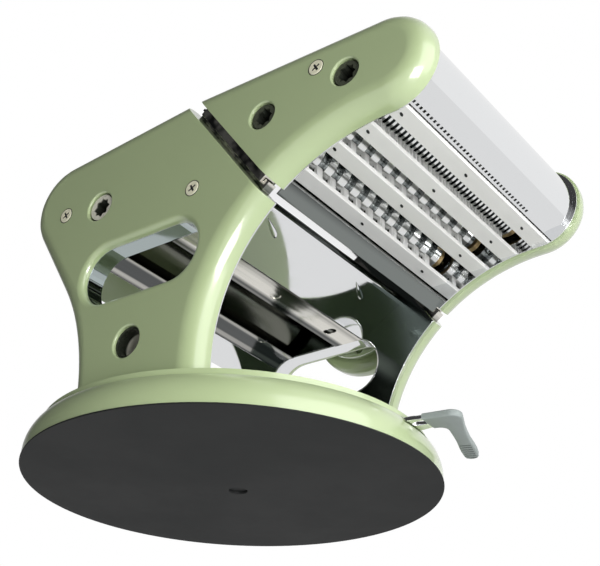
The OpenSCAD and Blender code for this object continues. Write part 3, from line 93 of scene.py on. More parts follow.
class FinishColours(bpy.types.PropertyGroup):
    enamel: tint("Enamel", "Sage green enamel of covers, foot and knob", (0.45, 0.55, 0.30))
    chrome: tint("Chrome", "Mirror plating of sheets, rails and lever", (0.86, 0.87, 0.88))
    # Inner chrome and inner streaks: painted reflection, dark and light streaks standing in for what the
    # sheets inside mirror
    inner: tint("Inner chrome", "Dark streaks of the sheets inside", (0.07, 0.075, 0.075))
    inner_reflection_light: tint("Inner streaks", "Light streaks of the sheets inside", (0.80, 0.78, 0.72))
    # Collar: painted shade, a darker tinted copy of the mirror chrome for the collar down in the near
    # slot
    collar: tint("Collar", "Plating of the near slot's collar", (0.42, 0.48, 0.48))
    # Panel streaks: painted reflection on the cutter's back panel, mixed with the inner chrome's dark
    # colour
    panel_reflection_light: tint("Panel streaks", "Light streaks of the cutter's panel", (0.24, 0.26, 0.25))
    # Grooves: painted shade down in the cutter rollers' grooves
    groove_shade: tint("Grooves", "Depth of the cutter rollers' grooves", (0.26, 0.28, 0.28))
    # Dough rollers: painted shade, the turned rollers darkened where they sit inside the machine
    roller: tint("Dough rollers", "Shaded dough rollers", (0.16, 0.165, 0.14))
    ring: tint("Cutter sockets", "Darker ring of the cutters' crank sockets", (0.09, 0.10, 0.07))
    rim: tint("Drive socket", "Pale ring of the drive socket and the parking socket", (0.92, 0.90, 0.78))
    # Recess: painted shade inside a crank socket
    recess_shade: tint("Recess", "Inside of a crank socket", (0.03, 0.035, 0.025))
    # Plate: painted reflection, the dark colour of the side plates' faces
    plate: tint("Plate", "Dark polish of the side plates", (0.11, 0.135, 0.125))
    steel: tint("Steel", "Bright steel of rods and screws", (0.56, 0.57, 0.58))
    aluminium: tint("Aluminium", "Turned cutter rings", (0.86, 0.87, 0.86))
    zinc: tint("Zinc", "Warm zinc plating of the screws", (0.98, 0.93, 0.70))
    bronze: tint("Bronze", "Sintered bushes", (0.55, 0.40, 0.20))
    rubber: tint("Rubber", "Suction pad", (0.014, 0.015, 0.015))
    nylon: tint("Nylon", "White combs", (0.83, 0.83, 0.81))
    grip: tint("Grip", "Grey sleeve of the lever", (0.30, 0.34, 0.33))
    # Ribs: painted shade, dark bars standing in for the grooves across the sleeve
    rib: tint("Ribs", "Dark ribs on the sleeve", (0.10, 0.115, 0.11))


class EdgeSizes(bpy.types.PropertyGroup):
    cover: length("Cover edge", "Rounding of holes and rims in the covers", 0.5, 0.1, 1.0)
    sheet: length("Sheet edge", "Rounding of the chromed sheets", 0.2, 0.05, 0.4)
    turned: length("Turned edge", "Rounding of turned and machined parts", 0.3, 0.1, 0.6)
    moulded: length("Moulded edge", "Rounding of moulded parts", 0.4, 0.1, 0.8)


class StudioSettings(bpy.types.PropertyGroup):
    azimuth: turn("Azimuth", "Direction that the camera looks in, about +Z", 37.796)
    elevation: turn("Elevation", "Height of the camera over the horizon", -28.654)
    roll: turn("Roll", "Turn of the camera about its own axis", 2.719)
    lens: bpy.props.FloatProperty(
        name="Lens", description="Focal length in millimetres on a 36 mm sensor", default=70.73)
    place: bpy.props.FloatVectorProperty(
        name="Camera place", description="Where the camera stands",
        default=(0.42708, -0.49630, -0.22186), subtype="XYZ", unit="LENGTH")
    floor_drop: length("Floor drop", "Depth of the floor below the machine's foot", 320)
    floor_side: length("Floor side", "Side of the square floor", 6000, high=20000)
    floor: tint("Floor", "Pale paper floor", (0.80, 0.80, 0.80))


# Expressions on node sockets

class Wire:
    """An output socket that can be written in sums and products."""

    def __init__(self, graph, socket):
        self.graph = graph
        self.socket = socket

    def maths(self, operation, a, b=None):
        inputs = {0: a} if b is None else {0: a, 1: b}
        return self.graph.node("ShaderNodeMath", inputs, operation=operation)

    def __add__(self, other):
        return self.maths("ADD", self, other)

    def __radd__(self, other):
        return self.maths("ADD", other, self)

    def __sub__(self, other):
        return self.maths("SUBTRACT", self, other)

    def __rsub__(self, other):
        return self.maths("SUBTRACT", other, self)

    def __mul__(self, other):
        return self.maths("MULTIPLY", self, other)

    def __rmul__(self, other):
        return self.maths("MULTIPLY", other, self)

    def __pow__(self, other):
        return self.maths("POWER", self, other)

    def __gt__(self, other):
        return self.maths("GREATER_THAN", self, other)


class Graph:
    """A node tree and the one method that adds to it."""

    def __init__(self, tree):
        self.tree = tree
        tree.nodes.clear()

    def put(self, socket, value):
        if isinstance(value, Wire):
            self.tree.links.new(value.socket, socket)
        elif isinstance(value, (list, tuple)) and value and isinstance(value[0], Wire):
            for wire in value:
                self.tree.links.new(wire.socket, socket)
        else:
            socket.default_value = value

    def node(self, kind, inputs=None, out=0, stops=None, **settings):
        """Adds any node: its settings first, then the values or links of its sockets."""
        node = self.tree.nodes.new(kind)
        for name, value in settings.items():
            setattr(node, name, value)
        if stops:
            ramp = node.color_ramp
            while len(ramp.elements) < len(stops):
                ramp.elements.new(1.0)
            for element, (place, grey) in zip(ramp.elements, stops):
                element.position = place
                element.color = (grey, grey, grey, 1.0)
        for name, value in (inputs or {}).items():
            self.put(node.inputs[name], value)
        return Wire(self, node.outputs[out]) if out is not None else None


class Finish(Graph):
    """A material with one Principled shader."""

    def __init__(self, name):
        self.material = bpy.data.materials.new(name)
        self.material.use_nodes = True
        super().__init__(self.material.node_tree)
        self.place = self.node("ShaderNodeTexCoord", out="Object")

    def stretched(self, x, y, z):
        return self.node("ShaderNodeMapping", {"Vector": self.place, "Scale": (x, y, z)})

    def noise(self, scale, detail=2.0, rough=0.5, at=None):
        return self.node("ShaderNodeTexNoise", {
            "Vector": at or self.place, "Scale": scale, "Detail": detail, "Roughness": rough},
            out="Fac")

    def along(self, axis):
        return self.node("ShaderNodeSeparateXYZ", {0: self.place}, out=axis)

    def ramp(self, wire, stops):
        return self.node("ShaderNodeValToRGB", {"Fac": wire}, stops=stops)

    def mix(self, factor, a, b):
        return self.node("ShaderNodeMix", {0: factor, 6: a, 7: b}, out=2, data_type="RGBA")

    def bump(self, height, strength, distance):
        return self.node("ShaderNodeBump", {
            "Height": height, "Strength": strength, "Distance": distance}, out="Normal")

    def principled(self, inputs):
        shader = self.node("ShaderNodeBsdfPrincipled", inputs)
        self.node("ShaderNodeOutputMaterial", {"Surface": shader}, out=None)
        return self.material


class Growth(Graph):
    """A geometry tree that puts one small shape on every point it is given."""

    def __init__(self, name, sizes):
        tree = bpy.data.node_groups.new(name, "GeometryNodeTree")
        super().__init__(tree)
        face = tree.interface
        face.new_socket("Geometry", in_out="INPUT", socket_type="NodeSocketGeometry")
        for size, value in sizes.items():
            kind = "NodeSocketVector" if isinstance(value, tuple) else "NodeSocketFloat"
            face.new_socket(size, in_out="INPUT", socket_type=kind).default_value = value
        face.new_socket("Geometry", in_out="OUTPUT", socket_type="NodeSocketGeometry")
        self.given = tree.nodes.new("NodeGroupInput")

    def size(self, name):
        return Wire(self, self.given.outputs[name])

    def vector(self, x, y, z):
        return self.node("ShaderNodeCombineXYZ", {"X": x, "Y": y, "Z": z})

    def moved(self, shape, by, turn=(0.0, 0.0, 0.0), scale=(1.0, 1.0, 1.0)):
        return self.node("GeometryNodeTransform", {
            "Geometry": shape, "Translation": by, "Rotation": turn, "Scale": scale})

    def painted(self, shape, material):
        return self.node("GeometryNodeSetMaterial", {"Geometry": shape, "Material": material})

    def plant(self, shape, turn):
        points = self.node("GeometryNodeInstanceOnPoints", {
            "Points": self.size("Geometry"), "Instance": shape, "Rotation": turn})
        solid = self.node("GeometryNodeRealizeInstances", {"Geometry": points})
        self.node("NodeGroupOutput", {"Geometry": solid}, out=None)
        return self.tree


def grow(name, tree, points, sizes):
    """The tree's shapes on these points, as a plain mesh."""
    seed = bpy.data.meshes.new(name)
    seed.from_pydata(points, [], [])
    source = link_mesh(name + "_seed", seed)
    modifier = source.modifiers.new("Grow", "NODES")
    modifier.node_group = tree
    for item in tree.interface.items_tree:
        if item.in_out == "INPUT" and item.name in sizes:
            modifier[item.identifier] = sizes[item.name]
    graph = bpy.context.evaluated_depsgraph_get()
    mesh = bpy.data.meshes.new_from_object(source.evaluated_get(graph), depsgraph=graph)
    bpy.data.objects.remove(source)
    if mesh.materials[0] is None:
        places = [face.material_index - 1 for face in mesh.polygons]
        mesh.materials.pop(index=0)
        mesh.polygons.foreach_set("material_index", places)
    mesh.validate()
    shade(mesh)
    return link_mesh(name, mesh)


def rgba(colour, scale=1.0):
    return tuple(min(1.0, c * scale) for c in colour) + (1.0,)


def enamel_finish(colour):
    """Glossy enamel with the faint orange peel of a sprayed casting."""
    paint = Finish("sage_enamel")
    cloud = paint.noise(14.0, 3.0)
    peel = paint.noise(420.0, 2.0)
    return paint.principled({
        "Base Color": paint.mix(cloud, rgba(colour, 0.98), rgba(colour, 1.02)),
        "Roughness": 0.30 + 0.05 * cloud,
        "Coat Weight": 1.0,
        "Coat IOR": 1.75,
        "Coat Roughness": 0.13,
        "Normal": paint.bump(peel, 0.03, 0.0003),
    })


def chrome_finish(name, colour):
    """Mirror plating on sheet that isn't perfectly flat."""
    paint = Finish(name)
    wave = paint.noise(9.0, 1.0)
    smear = paint.ramp(paint.noise(55.0, 5.0, 0.65), ((0.45, 0.0), (0.85, 1.0)))
    return paint.principled({
        "Base Color": rgba(colour),
        "Metallic": 1.0,
        "Roughness": 0.045 + 0.09 * smear,
        "Normal": paint.bump(wave, 0.12, 0.004),
    })


def painted_reflection_finish(name, dark, light):
    """Bright sheet inside the machine, with long streaks of painted reflection, dark and light, in its
    colour.
    """
    paint = Finish(name)
    reflection_streak = paint.noise(1.0, 2.0, 0.5, paint.stretched(95.0, 1.2, 95.0))
    # Painted reflection: the streaks mix the colour between a dark and a light reflection
    reflection_band = paint.ramp(reflection_streak, ((0.42, 0.0), (0.60, 1.0)))
    smear = paint.noise(60.0, 4.0, 0.6)
    return paint.principled({
        "Base Color": paint.mix(reflection_band, rgba(dark), rgba(light)),
        "Metallic": 1.0,
        "Roughness": 0.07 + 0.10 * smear,
        "Normal": paint.bump(reflection_streak, 0.15, 0.003),
    })


def plate_finish(name, face, edge):
    """Polished plate with painted reflection: faces across Y dark, cut edges bright."""
    paint = Finish(name)
    facing = paint.node("ShaderNodeTexCoord", out="Normal")
    # Painted reflection and highlight: faces looking along Y take the dark colour, the other faces the
    # bright one
    across = paint.node("ShaderNodeSeparateXYZ", {0: facing}, out="Y") ** 2.0
    flat = paint.ramp(across, ((0.45, 0.0), (0.55, 1.0)))
    lines = paint.noise(1.0, 3.0, 0.6, paint.stretched(60.0, 900.0, 900.0))
    cloud = paint.noise(30.0, 3.0)
    return paint.principled({
        "Base Color": paint.mix(flat, rgba(edge), rgba(face)),
        "Metallic": 1.0,
        "Roughness": 0.08 + 0.10 * cloud,
        "Normal": paint.bump(lines, 0.10, 0.0002),
    })


# Places along Y where a socket's colour turns to painted shade, and how fast it does so
CRANK_MOUTH = -96.1 * MM
PARK_MOUTH = -89.5 * MM
MOUTH_BLEND = 900.0

# Radius of a cutter roller below which painted shade darkens its grooves, and how fast it does so
GROOVE_RADIUS = 10.8 * MM
GROOVE_BLEND = 500.0


def socket_finish(name, rim, recess_shade, mouth):
    """Turned ring in the near cheek, with painted shade in its recess behind its mouth."""
    paint = Finish(name)
    # Painted shade: past the mouth the colour turns to the recess's shade
    depth = paint.ramp((paint.along("Y") - mouth) * MOUTH_BLEND, ((0.0, 0.0), (1.0, 1.0)))
    wear = paint.noise(160.0, 4.0)
    return paint.principled({
        "Base Color": paint.mix(depth, rgba(rim), rgba(recess_shade)),
        "Metallic": 0.25,
        "Roughness": 0.18 + 0.2 * wear + 0.3 * depth,
        "Normal": paint.bump(wear, 0.15, 0.0003),
    })


def cutter_finish(name, x, z, light, dark):
    """Bright cutting rings round an axis along Y, with painted shade down in the grooves."""
    paint = Finish(name)
    radius = ((paint.along("X") - x) ** 2.0 + (paint.along("Z") - z) ** 2.0) ** 0.5
    # Painted shade: the colour turns dark towards the axis, down in the grooves
    height = paint.ramp((radius - GROOVE_RADIUS) * GROOVE_BLEND, ((0.0, 0.0), (1.0, 1.0)))
    rings = paint.noise(1.0, 2.0, 0.5, paint.stretched(3.0, 1600.0, 3.0))
    return paint.principled({
        "Base Color": paint.mix(height, rgba(dark), rgba(light)),
        "Metallic": 1.0,
        "Roughness": 0.10 + 0.15 * rings,
        "Normal": paint.bump(rings, 0.10, 0.0002),
    })


def satin_finish(name, colour, scale, rough, metallic=1.0):
    """Steel with fine lines along the machine's length."""
    paint = Finish(name)
    lines = paint.noise(1.0, 3.0, 0.6, paint.stretched(60.0, scale, scale))
    cloud = paint.noise(30.0, 3.0)
    return paint.principled({
        "Base Color": paint.mix(lines, rgba(colour, 0.85), rgba(colour, 1.1)),
        "Metallic": metallic,
        "Roughness": rough + 0.12 * cloud,
        "Normal": paint.bump(lines, 0.15, 0.0002),
    })


def turned_finish(name, colour, rough):
    """Aluminium with the fine rings that the lathe leaves."""
    paint = Finish(name)
    rings = paint.noise(1.0, 2.0, 0.5, paint.stretched(3.0, 1600.0, 3.0))
    cloud = paint.noise(24.0, 4.0)
    return paint.principled({
        "Base Color": paint.mix(rings, rgba(colour, 0.9), rgba(colour, 1.05)),
        "Metallic": 1.0,
        "Roughness": rough + 0.10 * cloud,
        "Normal": paint.bump(rings, 0.10, 0.0002),
    })


def rubber_finish(colour):
    """Matt black rubber with dust and a moulded grain."""
    # This material also paints the shadows in and round the cover screws
    paint = Finish("suction_rubber")
    dust = paint.ramp(paint.noise(11.0, 8.0, 0.65), ((0.42, 0.0), (0.75, 1.0)))
    grain = paint.noise(900.0, 2.0)
    return paint.principled({
        "Base Color": paint.mix(dust, rgba(colour), rgba(colour, 1.7)),
        "Roughness": 0.62 + 0.15 * dust,
        "Specular IOR Level": 0.22,
        "Normal": paint.bump(grain, 0.12, 0.0002),
    })


def plastic_finish(name, colour, rough, grain_scale):
    """Moulded plastic with a soft grain."""
    paint = Finish(name)
    cloud = paint.noise(40.0, 4.0)
    grain = paint.noise(grain_scale, 2.0)
    return paint.principled({
        "Base Color": paint.mix(cloud, rgba(colour, 0.95), rgba(colour, 1.03)),
        "Roughness": rough + 0.08 * cloud,
        "Normal": paint.bump(grain, 0.08, 0.0002),
    })


def make_finishes(colours):
    return {
        "enamel": enamel_finish(colours.enamel),
        "chrome": chrome_finish("mirror_chrome", colours.chrome),
        # Sheets inside: painted reflection in dark and light streaks
        "inner_chrome": painted_reflection_finish("inner_chrome", colours.inner, colours.inner_reflection_light),
        # Collar: painted shade, the mirror chrome dimmed
        "collar_chrome": chrome_finish("collar_chrome", colours.collar),
        # Dough rollers: painted shade on the turned finish
        "dark_roller": turned_finish("dark_roller", colours.roller, 0.14),
        # Cutter's back panel: painted reflection in dark and light streaks
        "panel_chrome": painted_reflection_finish("panel_chrome", colours.inner, colours.panel_reflection_light),
        "drive_ring": socket_finish("drive_ring", colours.rim, colours.recess_shade, CRANK_MOUTH),
        "cutter_ring": socket_finish("cutter_ring", colours.ring, colours.recess_shade, CRANK_MOUTH),
        # The parking socket takes the two colours the other way round, its painted shade on the near
        # side of its mouth
        "park_ring": socket_finish("park_ring", colours.recess_shade, colours.rim, PARK_MOUTH),
        "plate_steel": plate_finish("polished_plate", colours.plate, colours.chrome),
        "steel": satin_finish("bright_steel", colours.steel, 300.0, 0.22),
        "gear_steel": satin_finish("oiled_gear_steel", colours.steel, 1200.0, 0.34),
        "cast_zinc": satin_finish("die_cast_zinc", colours.steel, 200.0, 0.45),
        "roller_aluminium": turned_finish("turned_aluminium", colours.aluminium, 0.10),
        "zinc_screw": satin_finish("pale_zinc", colours.zinc, 700.0, 0.34, 0.15),
        "bronze": satin_finish("sintered_bronze", colours.bronze, 500.0, 0.40),
        "foot_rubber": rubber_finish(colours.rubber),
        "comb_nylon": plastic_finish("white_nylon", colours.nylon, 0.38, 700.0),
        "rib_shadow": plastic_finish("rib_shadow", colours.rib, 0.5, 900.0),
        "grip_plastic": plastic_finish("soft_grip", colours.grip, 0.48, 900.0),
    }


# Pieces made from the frame's solids

def slot_of(node):
    return next(s["material_slot"] for s in frame["record"]["subparts"] if s["node"] == node)


def finish_piece(piece, node, finishes):
    """Gives a piece the finish and the body of the solid that it stands for."""
    piece.data.materials.clear()
    piece.data.materials.append(finishes[slot_of(node)])
    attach(piece, frame["nodes"][node]["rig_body"])
    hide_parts(node)
    return piece


def link_mesh(name, mesh):
    piece = bpy.data.objects.new(name, mesh)
    bpy.context.scene.collection.objects.link(piece)
    return piece


def joined_copy(node):
    """The solid's faces as one closed mesh, flat faces merged."""
    mesh = bmesh.new()
    mesh.from_mesh(frame["nodes"][node].data)
    bmesh.ops.remove_doubles(mesh, verts=mesh.verts, dist=WELD)
    bmesh.ops.dissolve_limit(mesh, angle_limit=math.radians(0.3), verts=mesh.verts,
                             edges=mesh.edges)
    return mesh


def shade(mesh, sharp=38.0):
    """Smooth shading that breaks at real edges."""
    mesh.polygons.foreach_set("use_smooth", [True] * len(mesh.polygons))
    mesh.set_sharp_from_angle(angle=math.radians(sharp))


def weight_normals(piece):
    modifier = piece.modifiers.new("Flat faces stay flat", "WEIGHTED_NORMAL")
    modifier.mode = "FACE_AREA"
    modifier.weight = 100
    modifier.keep_sharp = True


def rounded_copy(node, edge, segments=2, sharp=32.0):
    """A copy of a solid whose sharp outer edges are rounded."""
    mesh = joined_copy(node)
    limit = math.radians(sharp)
    edges = [e for e in mesh.edges if len(e.link_faces) == 2 and e.is_convex
             and e.calc_face_angle(0.0) > limit]
    bmesh.ops.bevel(mesh, geom=edges, offset=edge, offset_type="OFFSET", segments=segments,
                    profile=0.5, affect="EDGES", clamp_overlap=True)
    data = bpy.data.meshes.new(node + "_look")
    mesh.to_mesh(data)
    mesh.free()
    shade(data)
    piece = link_mesh(node + "_look", data)
    weight_normals(piece)
    return piece


def node_box(node):
    corners = [v.co for v in frame["nodes"][node].data.vertices]
    return [Vector([pick(c[k] for c in corners) for k in range(3)]) for pick in (min, max)]


def island_boxes(node):
    """Low and high corner of every separate solid in a node."""
    mesh = bmesh.new()
    mesh.from_mesh(frame["nodes"][node].data)
    bmesh.ops.remove_doubles(mesh, verts=mesh.verts, dist=WELD)
    left = set(mesh.verts)
    boxes = []
    for first in mesh.verts:
        if first not in left:
            continue
        left.discard(first)
        island = [first]
        for vert in island:
            near = {e.other_vert(vert) for e in vert.link_edges} & left
            left -= near
            island.extend(near)
        low = Vector([min(v.co[k] for v in island) for k in range(3)])
        high = Vector([max(v.co[k] for v in island) for k in range(3)])
        boxes.append((low, high))
    mesh.free()
    return boxes


# Stage

# Name, place, side and power of each square lamp
LAMPS = (
    ("key", (1.15, -0.10, 0.30), 1.1, 5.6),
    ("under", (0.75, -0.35, -0.26), 0.5, 8.0),
)
LAMP_AIM = Vector((0.03, 0.0, 0.11))

# Direction in which the room round the machine looks dark, seen in its mirrors
ROOM_DARK = (-0.55, -0.78, 0.30)


class PASTA_OT_stage(bpy.types.Operator):
    """Floor, backdrop, lights and camera"""
    bl_idname = "pasta.stage"
    bl_label = "Stage"

    def execute(self, context):
        studio = context.scene.pasta_studio
        self.add_camera(context, studio)
        self.add_floor(studio)
        self.add_world(context)
        self.add_lamps(context)
        context.scene.view_settings.view_transform = "Standard"
        return {"FINISHED"}

    def add_camera(self, context, studio):
        a, e, r = studio.azimuth, studio.elevation, studio.roll
        back = Vector((math.sin(a) * math.cos(e), -math.cos(a) * math.cos(e), math.sin(e)))
        right = Vector((math.cos(a), math.sin(a), 0.0))
        down = back.cross(right) * -1.0
        rolled_right = right * math.cos(r) - down * math.sin(r)
        rolled_down = right * math.sin(r) + down * math.cos(r)
        data = bpy.data.cameras.new("Camera")
        data.lens = studio.lens
        data.sensor_width = 36.0
        data.sensor_fit = "HORIZONTAL"
        data.clip_start = 0.01
        camera = bpy.data.objects.new("Camera", data)
        turned = Matrix((rolled_right, -rolled_down, back)).transposed().to_4x4()
        camera.matrix_world = Matrix.Translation(studio.place) @ turned
        context.scene.collection.objects.link(camera)
        context.scene.camera = camera

    def add_floor(self, studio):
        half = studio.floor_side / 2
        mesh = bpy.data.meshes.new("floor")
        corners = [(x, y, -studio.floor_drop) for x, y in
                   ((-half, -half), (half, -half), (half, half), (-half, half))]
        mesh.from_pydata(corners, [], [(0, 1, 2, 3)])
        floor = link_mesh("floor", mesh)
        paint = Finish("pale_paper")
        paper = paint.node("ShaderNodeBsdfDiffuse", {"Color": rgba(studio.floor)})
        lit = paint.node("ShaderNodeEmission", {"Color": rgba(studio.floor)}, out=0)
        glossy = paint.node("ShaderNodeLightPath", out="Is Glossy Ray")
        seen = paint.node("ShaderNodeLightPath", out="Is Camera Ray")
        under = paint.node("ShaderNodeNewGeometry", out="Backfacing")
        clear = paint.node("ShaderNodeBsdfTransparent")
        sheet = paint.node("ShaderNodeMixShader", {0: glossy + 0.6 * seen, 1: paper, 2: lit})
        sheet = paint.node("ShaderNodeMixShader", {0: seen * under, 1: sheet, 2: clear})
        paint.node("ShaderNodeOutputMaterial", {"Surface": sheet}, out=None)
        mesh.materials.append(paint.material)

    def add_world(self, context):
        world = bpy.data.worlds.new("studio")
        world.use_nodes = True
        graph = Graph(world.node_tree)
        seen = graph.node("ShaderNodeLightPath", out="Is Camera Ray")
        glossy = graph.node("ShaderNodeLightPath", out="Is Glossy Ray")
        way = graph.node("ShaderNodeTexCoord", out="Generated")
        room = graph.node("ShaderNodeVectorMath", {0: way, 1: ROOM_DARK},
                          out="Value", operation="DOT_PRODUCT")
        shown = graph.node("ShaderNodeValToRGB", {"Fac": room * 0.5 + 0.5},
                           stops=((0.45, 1.0), (0.72, 0.06)))
        strength = 0.32 * (1.0 - glossy) + 0.9 * glossy * shown
        strength = strength * (1.0 - seen) + seen
        light = graph.node("ShaderNodeBackground", {"Color": (1, 1, 1, 1), "Strength": strength})
        graph.node("ShaderNodeOutputWorld", {"Surface": light}, out=None)
        context.scene.world = world

    def add_lamps(self, context):
        for name, place, size, power in LAMPS:
            data = bpy.data.lights.new(name, "AREA")
            data.shape = "SQUARE"
            data.size = size
            data.energy = power
            lamp = bpy.data.objects.new(name, data)
            aim = LAMP_AIM - Vector(place)
            turned = aim.to_track_quat("-Z", "Y").to_matrix().to_4x4()
            lamp.matrix_world = Matrix.Translation(place) @ turned
            context.scene.collection.objects.link(lamp)


# Finish of the solids that keep their shape

CUTTERS = ("wide_cutter", "wide_cutter_mate", "narrow_cutter", "narrow_cutter_mate")
OTHER_FINISH = {
    "front_scraper": "inner_chrome", "rear_scraper": "inner_chrome",
    "front_hopper_plate": "inner_chrome", "rear_hopper_plate": "inner_chrome",
    "tie_rods": "inner_chrome", "joint_rails": "inner_chrome",
    "cutter_channels": "inner_chrome", "cutter_back_panel": "panel_chrome",
    "cutter_far_plate": "chrome", "near_slot_collar": "collar_chrome",
    "drive_roller": "dark_roller", "adjustable_roller": "dark_roller",
    "park_socket": "park_ring", "drive_socket": "drive_ring",
    "wide_socket": "cutter_ring", "narrow_socket": "cutter_ring",
}
ROUNDED = {
    "near_cover": "cover", "far_cover": "cover", "cutter_near_cover": "cover",
    "cutter_far_cover": "cover", "base_dome": "cover", "gap_knob": "cover",
    "near_plate": "sheet", "far_plate": "sheet", "cutter_near_plate": "sheet",
    "cutter_far_plate": "sheet", "front_apron": "sheet", "front_hopper_plate": "sheet",
    "rear_panel": "sheet", "rear_hopper_plate": "sheet", "front_scraper": "sheet",
    "rear_scraper": "sheet", "cutter_housing": "sheet", "cutter_back_panel": "sheet",
    "cutter_deck": "sheet", "joint_rails": "sheet", "cutter_channels": "sheet",
    "near_slot_collar": "sheet", "far_slot_collar": "sheet", "park_socket": "sheet",
    "drive_roller": "turned", "adjustable_roller": "turned", "index_ring": "turned",
    "knob_hub": "turned", "gap_blocks": "turned", "gap_yoke": "turned",
    "suction_pad": "moulded", "lift_lever": "moulded", "wide_combs": "moulded",
    "narrow_combs": "sheet",
}


class PASTA_OT_finish_solids(bpy.types.Operator):
    """Finish on every solid, with rounded copies of those whose edges show"""
    bl_idname = "pasta.finish_solids"
    bl_label = "Finish solids"

    def execute(self, context):
        colours = context.scene.pasta_colours
        finishes = make_finishes(colours)
        edges = context.scene.pasta_edges
        for name, solid in frame["nodes"].items():
            solid.data.materials.clear()
            solid.data.materials.append(finishes[slot_of(name)])
        for name, kind in ROUNDED.items():
            finish_piece(rounded_copy(name, getattr(edges, kind)), name, finishes)
        for name in CUTTERS:
            low, high = node_box(name)
            middle = (low + high) / 2
            finishes[name] = cutter_finish(name + "_rings", middle.x, middle.z,
                                           colours.aluminium, colours.groove_shade)
        for name, finish in {**OTHER_FINISH, **{name: name for name in CUTTERS}}.items():
            for piece in (frame["nodes"][name], bpy.data.objects.get(name + "_look")):
                if piece:
                    piece.data.materials[0] = finishes[finish]
        return {"FINISHED"}


# Repeated shapes, grown with geometry nodes

class ScrewSizes(bpy.types.PropertyGroup):
    cross_width: length("Cross width", "Width of the cross in a cover screw", 1.4)
    cross_length: length("Cross length", "Length of the cross", 5.4)
    cross_depth: length("Cross depth", "Depth of the cross", 1.0)
    rim: length("Head bevel", "Height of the bevel round the head", 0.3)


class DetailSizes(bpy.types.PropertyGroup):
    mark_radius: length("Mark radius", "Half width of a comb's rivet mark", 0.8)
    mark_pitch: length("Mark pitch", "Distance between the marks along a comb", 67.5)
    mark_shift: length("Mark shift", "Shift of the marks towards the near cheek", 7.5)
    rib_radius: length("Rib radius", "Radius of a rib on the lever's sleeve", 0.3)
    rib_length: length("Rib length", "Length of a rib on the lever's sleeve", 6.0)
    rib_pitch: length("Rib pitch", "Distance between two ribs", 3.2)
    rib_start: length("First rib", "Distance of the first rib beyond the sleeve's tip centre", 1.2)
    sleeve_start: length("Sleeve start", "Distance of the sleeve's start from the corner", 14.0)
    sleeve_thin: length("Sleeve inset", "How far a sleeve's face lies inside the solid's", 0.4)
    sleeve_edge: length("Sleeve edge", "Rounding of the sleeve's edges", 1.1)
    corner_radius: length("Corner radius", "Radius of the sleeve's outer corner", 6.0)
    sleeve_half: length("Sleeve half width", "Half the sleeve's width where it starts", 7.2)
    sleeve_tip: length("Sleeve tip", "Distance of the tip's centre from the corner", 56.0)
    lever_reach: length("Lever reach", "Distance of the lever's corner from the stem", 141.0)
    lever_rest: turn("Lever rest", "Direction of the lever at rest", 3.0)
    arm_turn: turn("Arm turn", "Turn of the lever at its corner", 105.5)
    rib_count: bpy.props.IntProperty(
        name="Ribs", description="Number of ribs on one face of the sleeve", default=7, min=1)
    lance_radius: length("Lance radius", "Radius of a C-shaped lance in a scraper", 3.2)
    lance_edge: length("Lance edge", "Radius of a lance's raised edge", 0.35)
    drop_half: length("Drop half width", "Half width of an embossing in the apron", 2.6)
    drop_height: length("Drop height", "Height of an embossing in the apron", 0.7)


def screw_tree(finish, shadow, sizes):
    """A countersunk screw whose head's face lies at the point, looking away from the middle, with
    painted shadow in its cross and round its head.
    """
    tree = Growth("countersunk screw", sizes)
    head_r, head_h, bevel = (tree.size(k) for k in ("Head radius", "Head height", "Bevel"))
    cone = tree.node("GeometryNodeMeshCone", {
        "Vertices": 48, "Radius Top": head_r, "Radius Bottom": tree.size("Shank radius"),
        "Depth": head_h - bevel}, out="Mesh")
    edge = tree.node("GeometryNodeMeshCone", {
        "Vertices": 48, "Radius Top": head_r - bevel, "Radius Bottom": head_r,
        "Depth": bevel}, out="Mesh")
    edge = tree.moved(edge, tree.vector(0.0, 0.0, head_h - bevel))
    head = tree.node("GeometryNodeMeshBoolean", {"Mesh 2": [cone, edge]}, out="Mesh",
                     operation="UNION")
    bar = tree.node("GeometryNodeMeshCube", {"Size": tree.vector(
        tree.size("Cross length"), tree.size("Cross width"), tree.size("Cross depth") * 2.0)},
        out="Mesh")
    top = tree.vector(0.0, 0.0, head_h)
    low = tree.vector(0.0, 0.0, head_h - tree.size("Cross depth") * 1.4)
    turns = [(0.0, 0.0, turned) for turned in (0.5, 0.5 + math.pi / 2)]
    head = tree.node("GeometryNodeMeshBoolean", {
        "Mesh 1": head, "Mesh 2": [tree.moved(bar, top, turned) for turned in turns]},
        out="Mesh", operation="DIFFERENCE")
    shank = tree.node("GeometryNodeMeshCylinder", {
        "Vertices": 24, "Radius": tree.size("Shank radius"),
        "Depth": tree.size("Shank length")}, out="Mesh")
    shank = tree.moved(shank, tree.vector(0.0, 0.0, tree.size("Shank length") * -0.5))
    # Painted shadow: a thin dark disc in the gap round the head
    gap = tree.node("GeometryNodeMeshCylinder", {
        "Vertices": 48, "Radius": head_r + tree.size("Gap"), "Depth": 0.0002}, out="Mesh")
    gap = tree.moved(gap, tree.vector(0.0, 0.0, head_h - tree.size("Head stand")))
    # Painted shadow: dark bars down in the cross, and the disc round the head
    dark = [tree.moved(bar, low, turned) for turned in turns] + [gap]
    screw = tree.node("GeometryNodeJoinGeometry", {"Geometry": [
        tree.painted(head, finish), tree.painted(shank, finish)]
        + [tree.painted(shape, shadow) for shape in dark]})
    screw = tree.moved(screw, tree.vector(0.0, 0.0, head_h * -1.0))
    place = tree.node("GeometryNodeInputPosition")
    side = tree.node("ShaderNodeSeparateXYZ", {0: place}, out="Y") > 0.0
    return tree.plant(screw, tree.vector((0.5 - side) * math.pi, 0.0, 0.0))


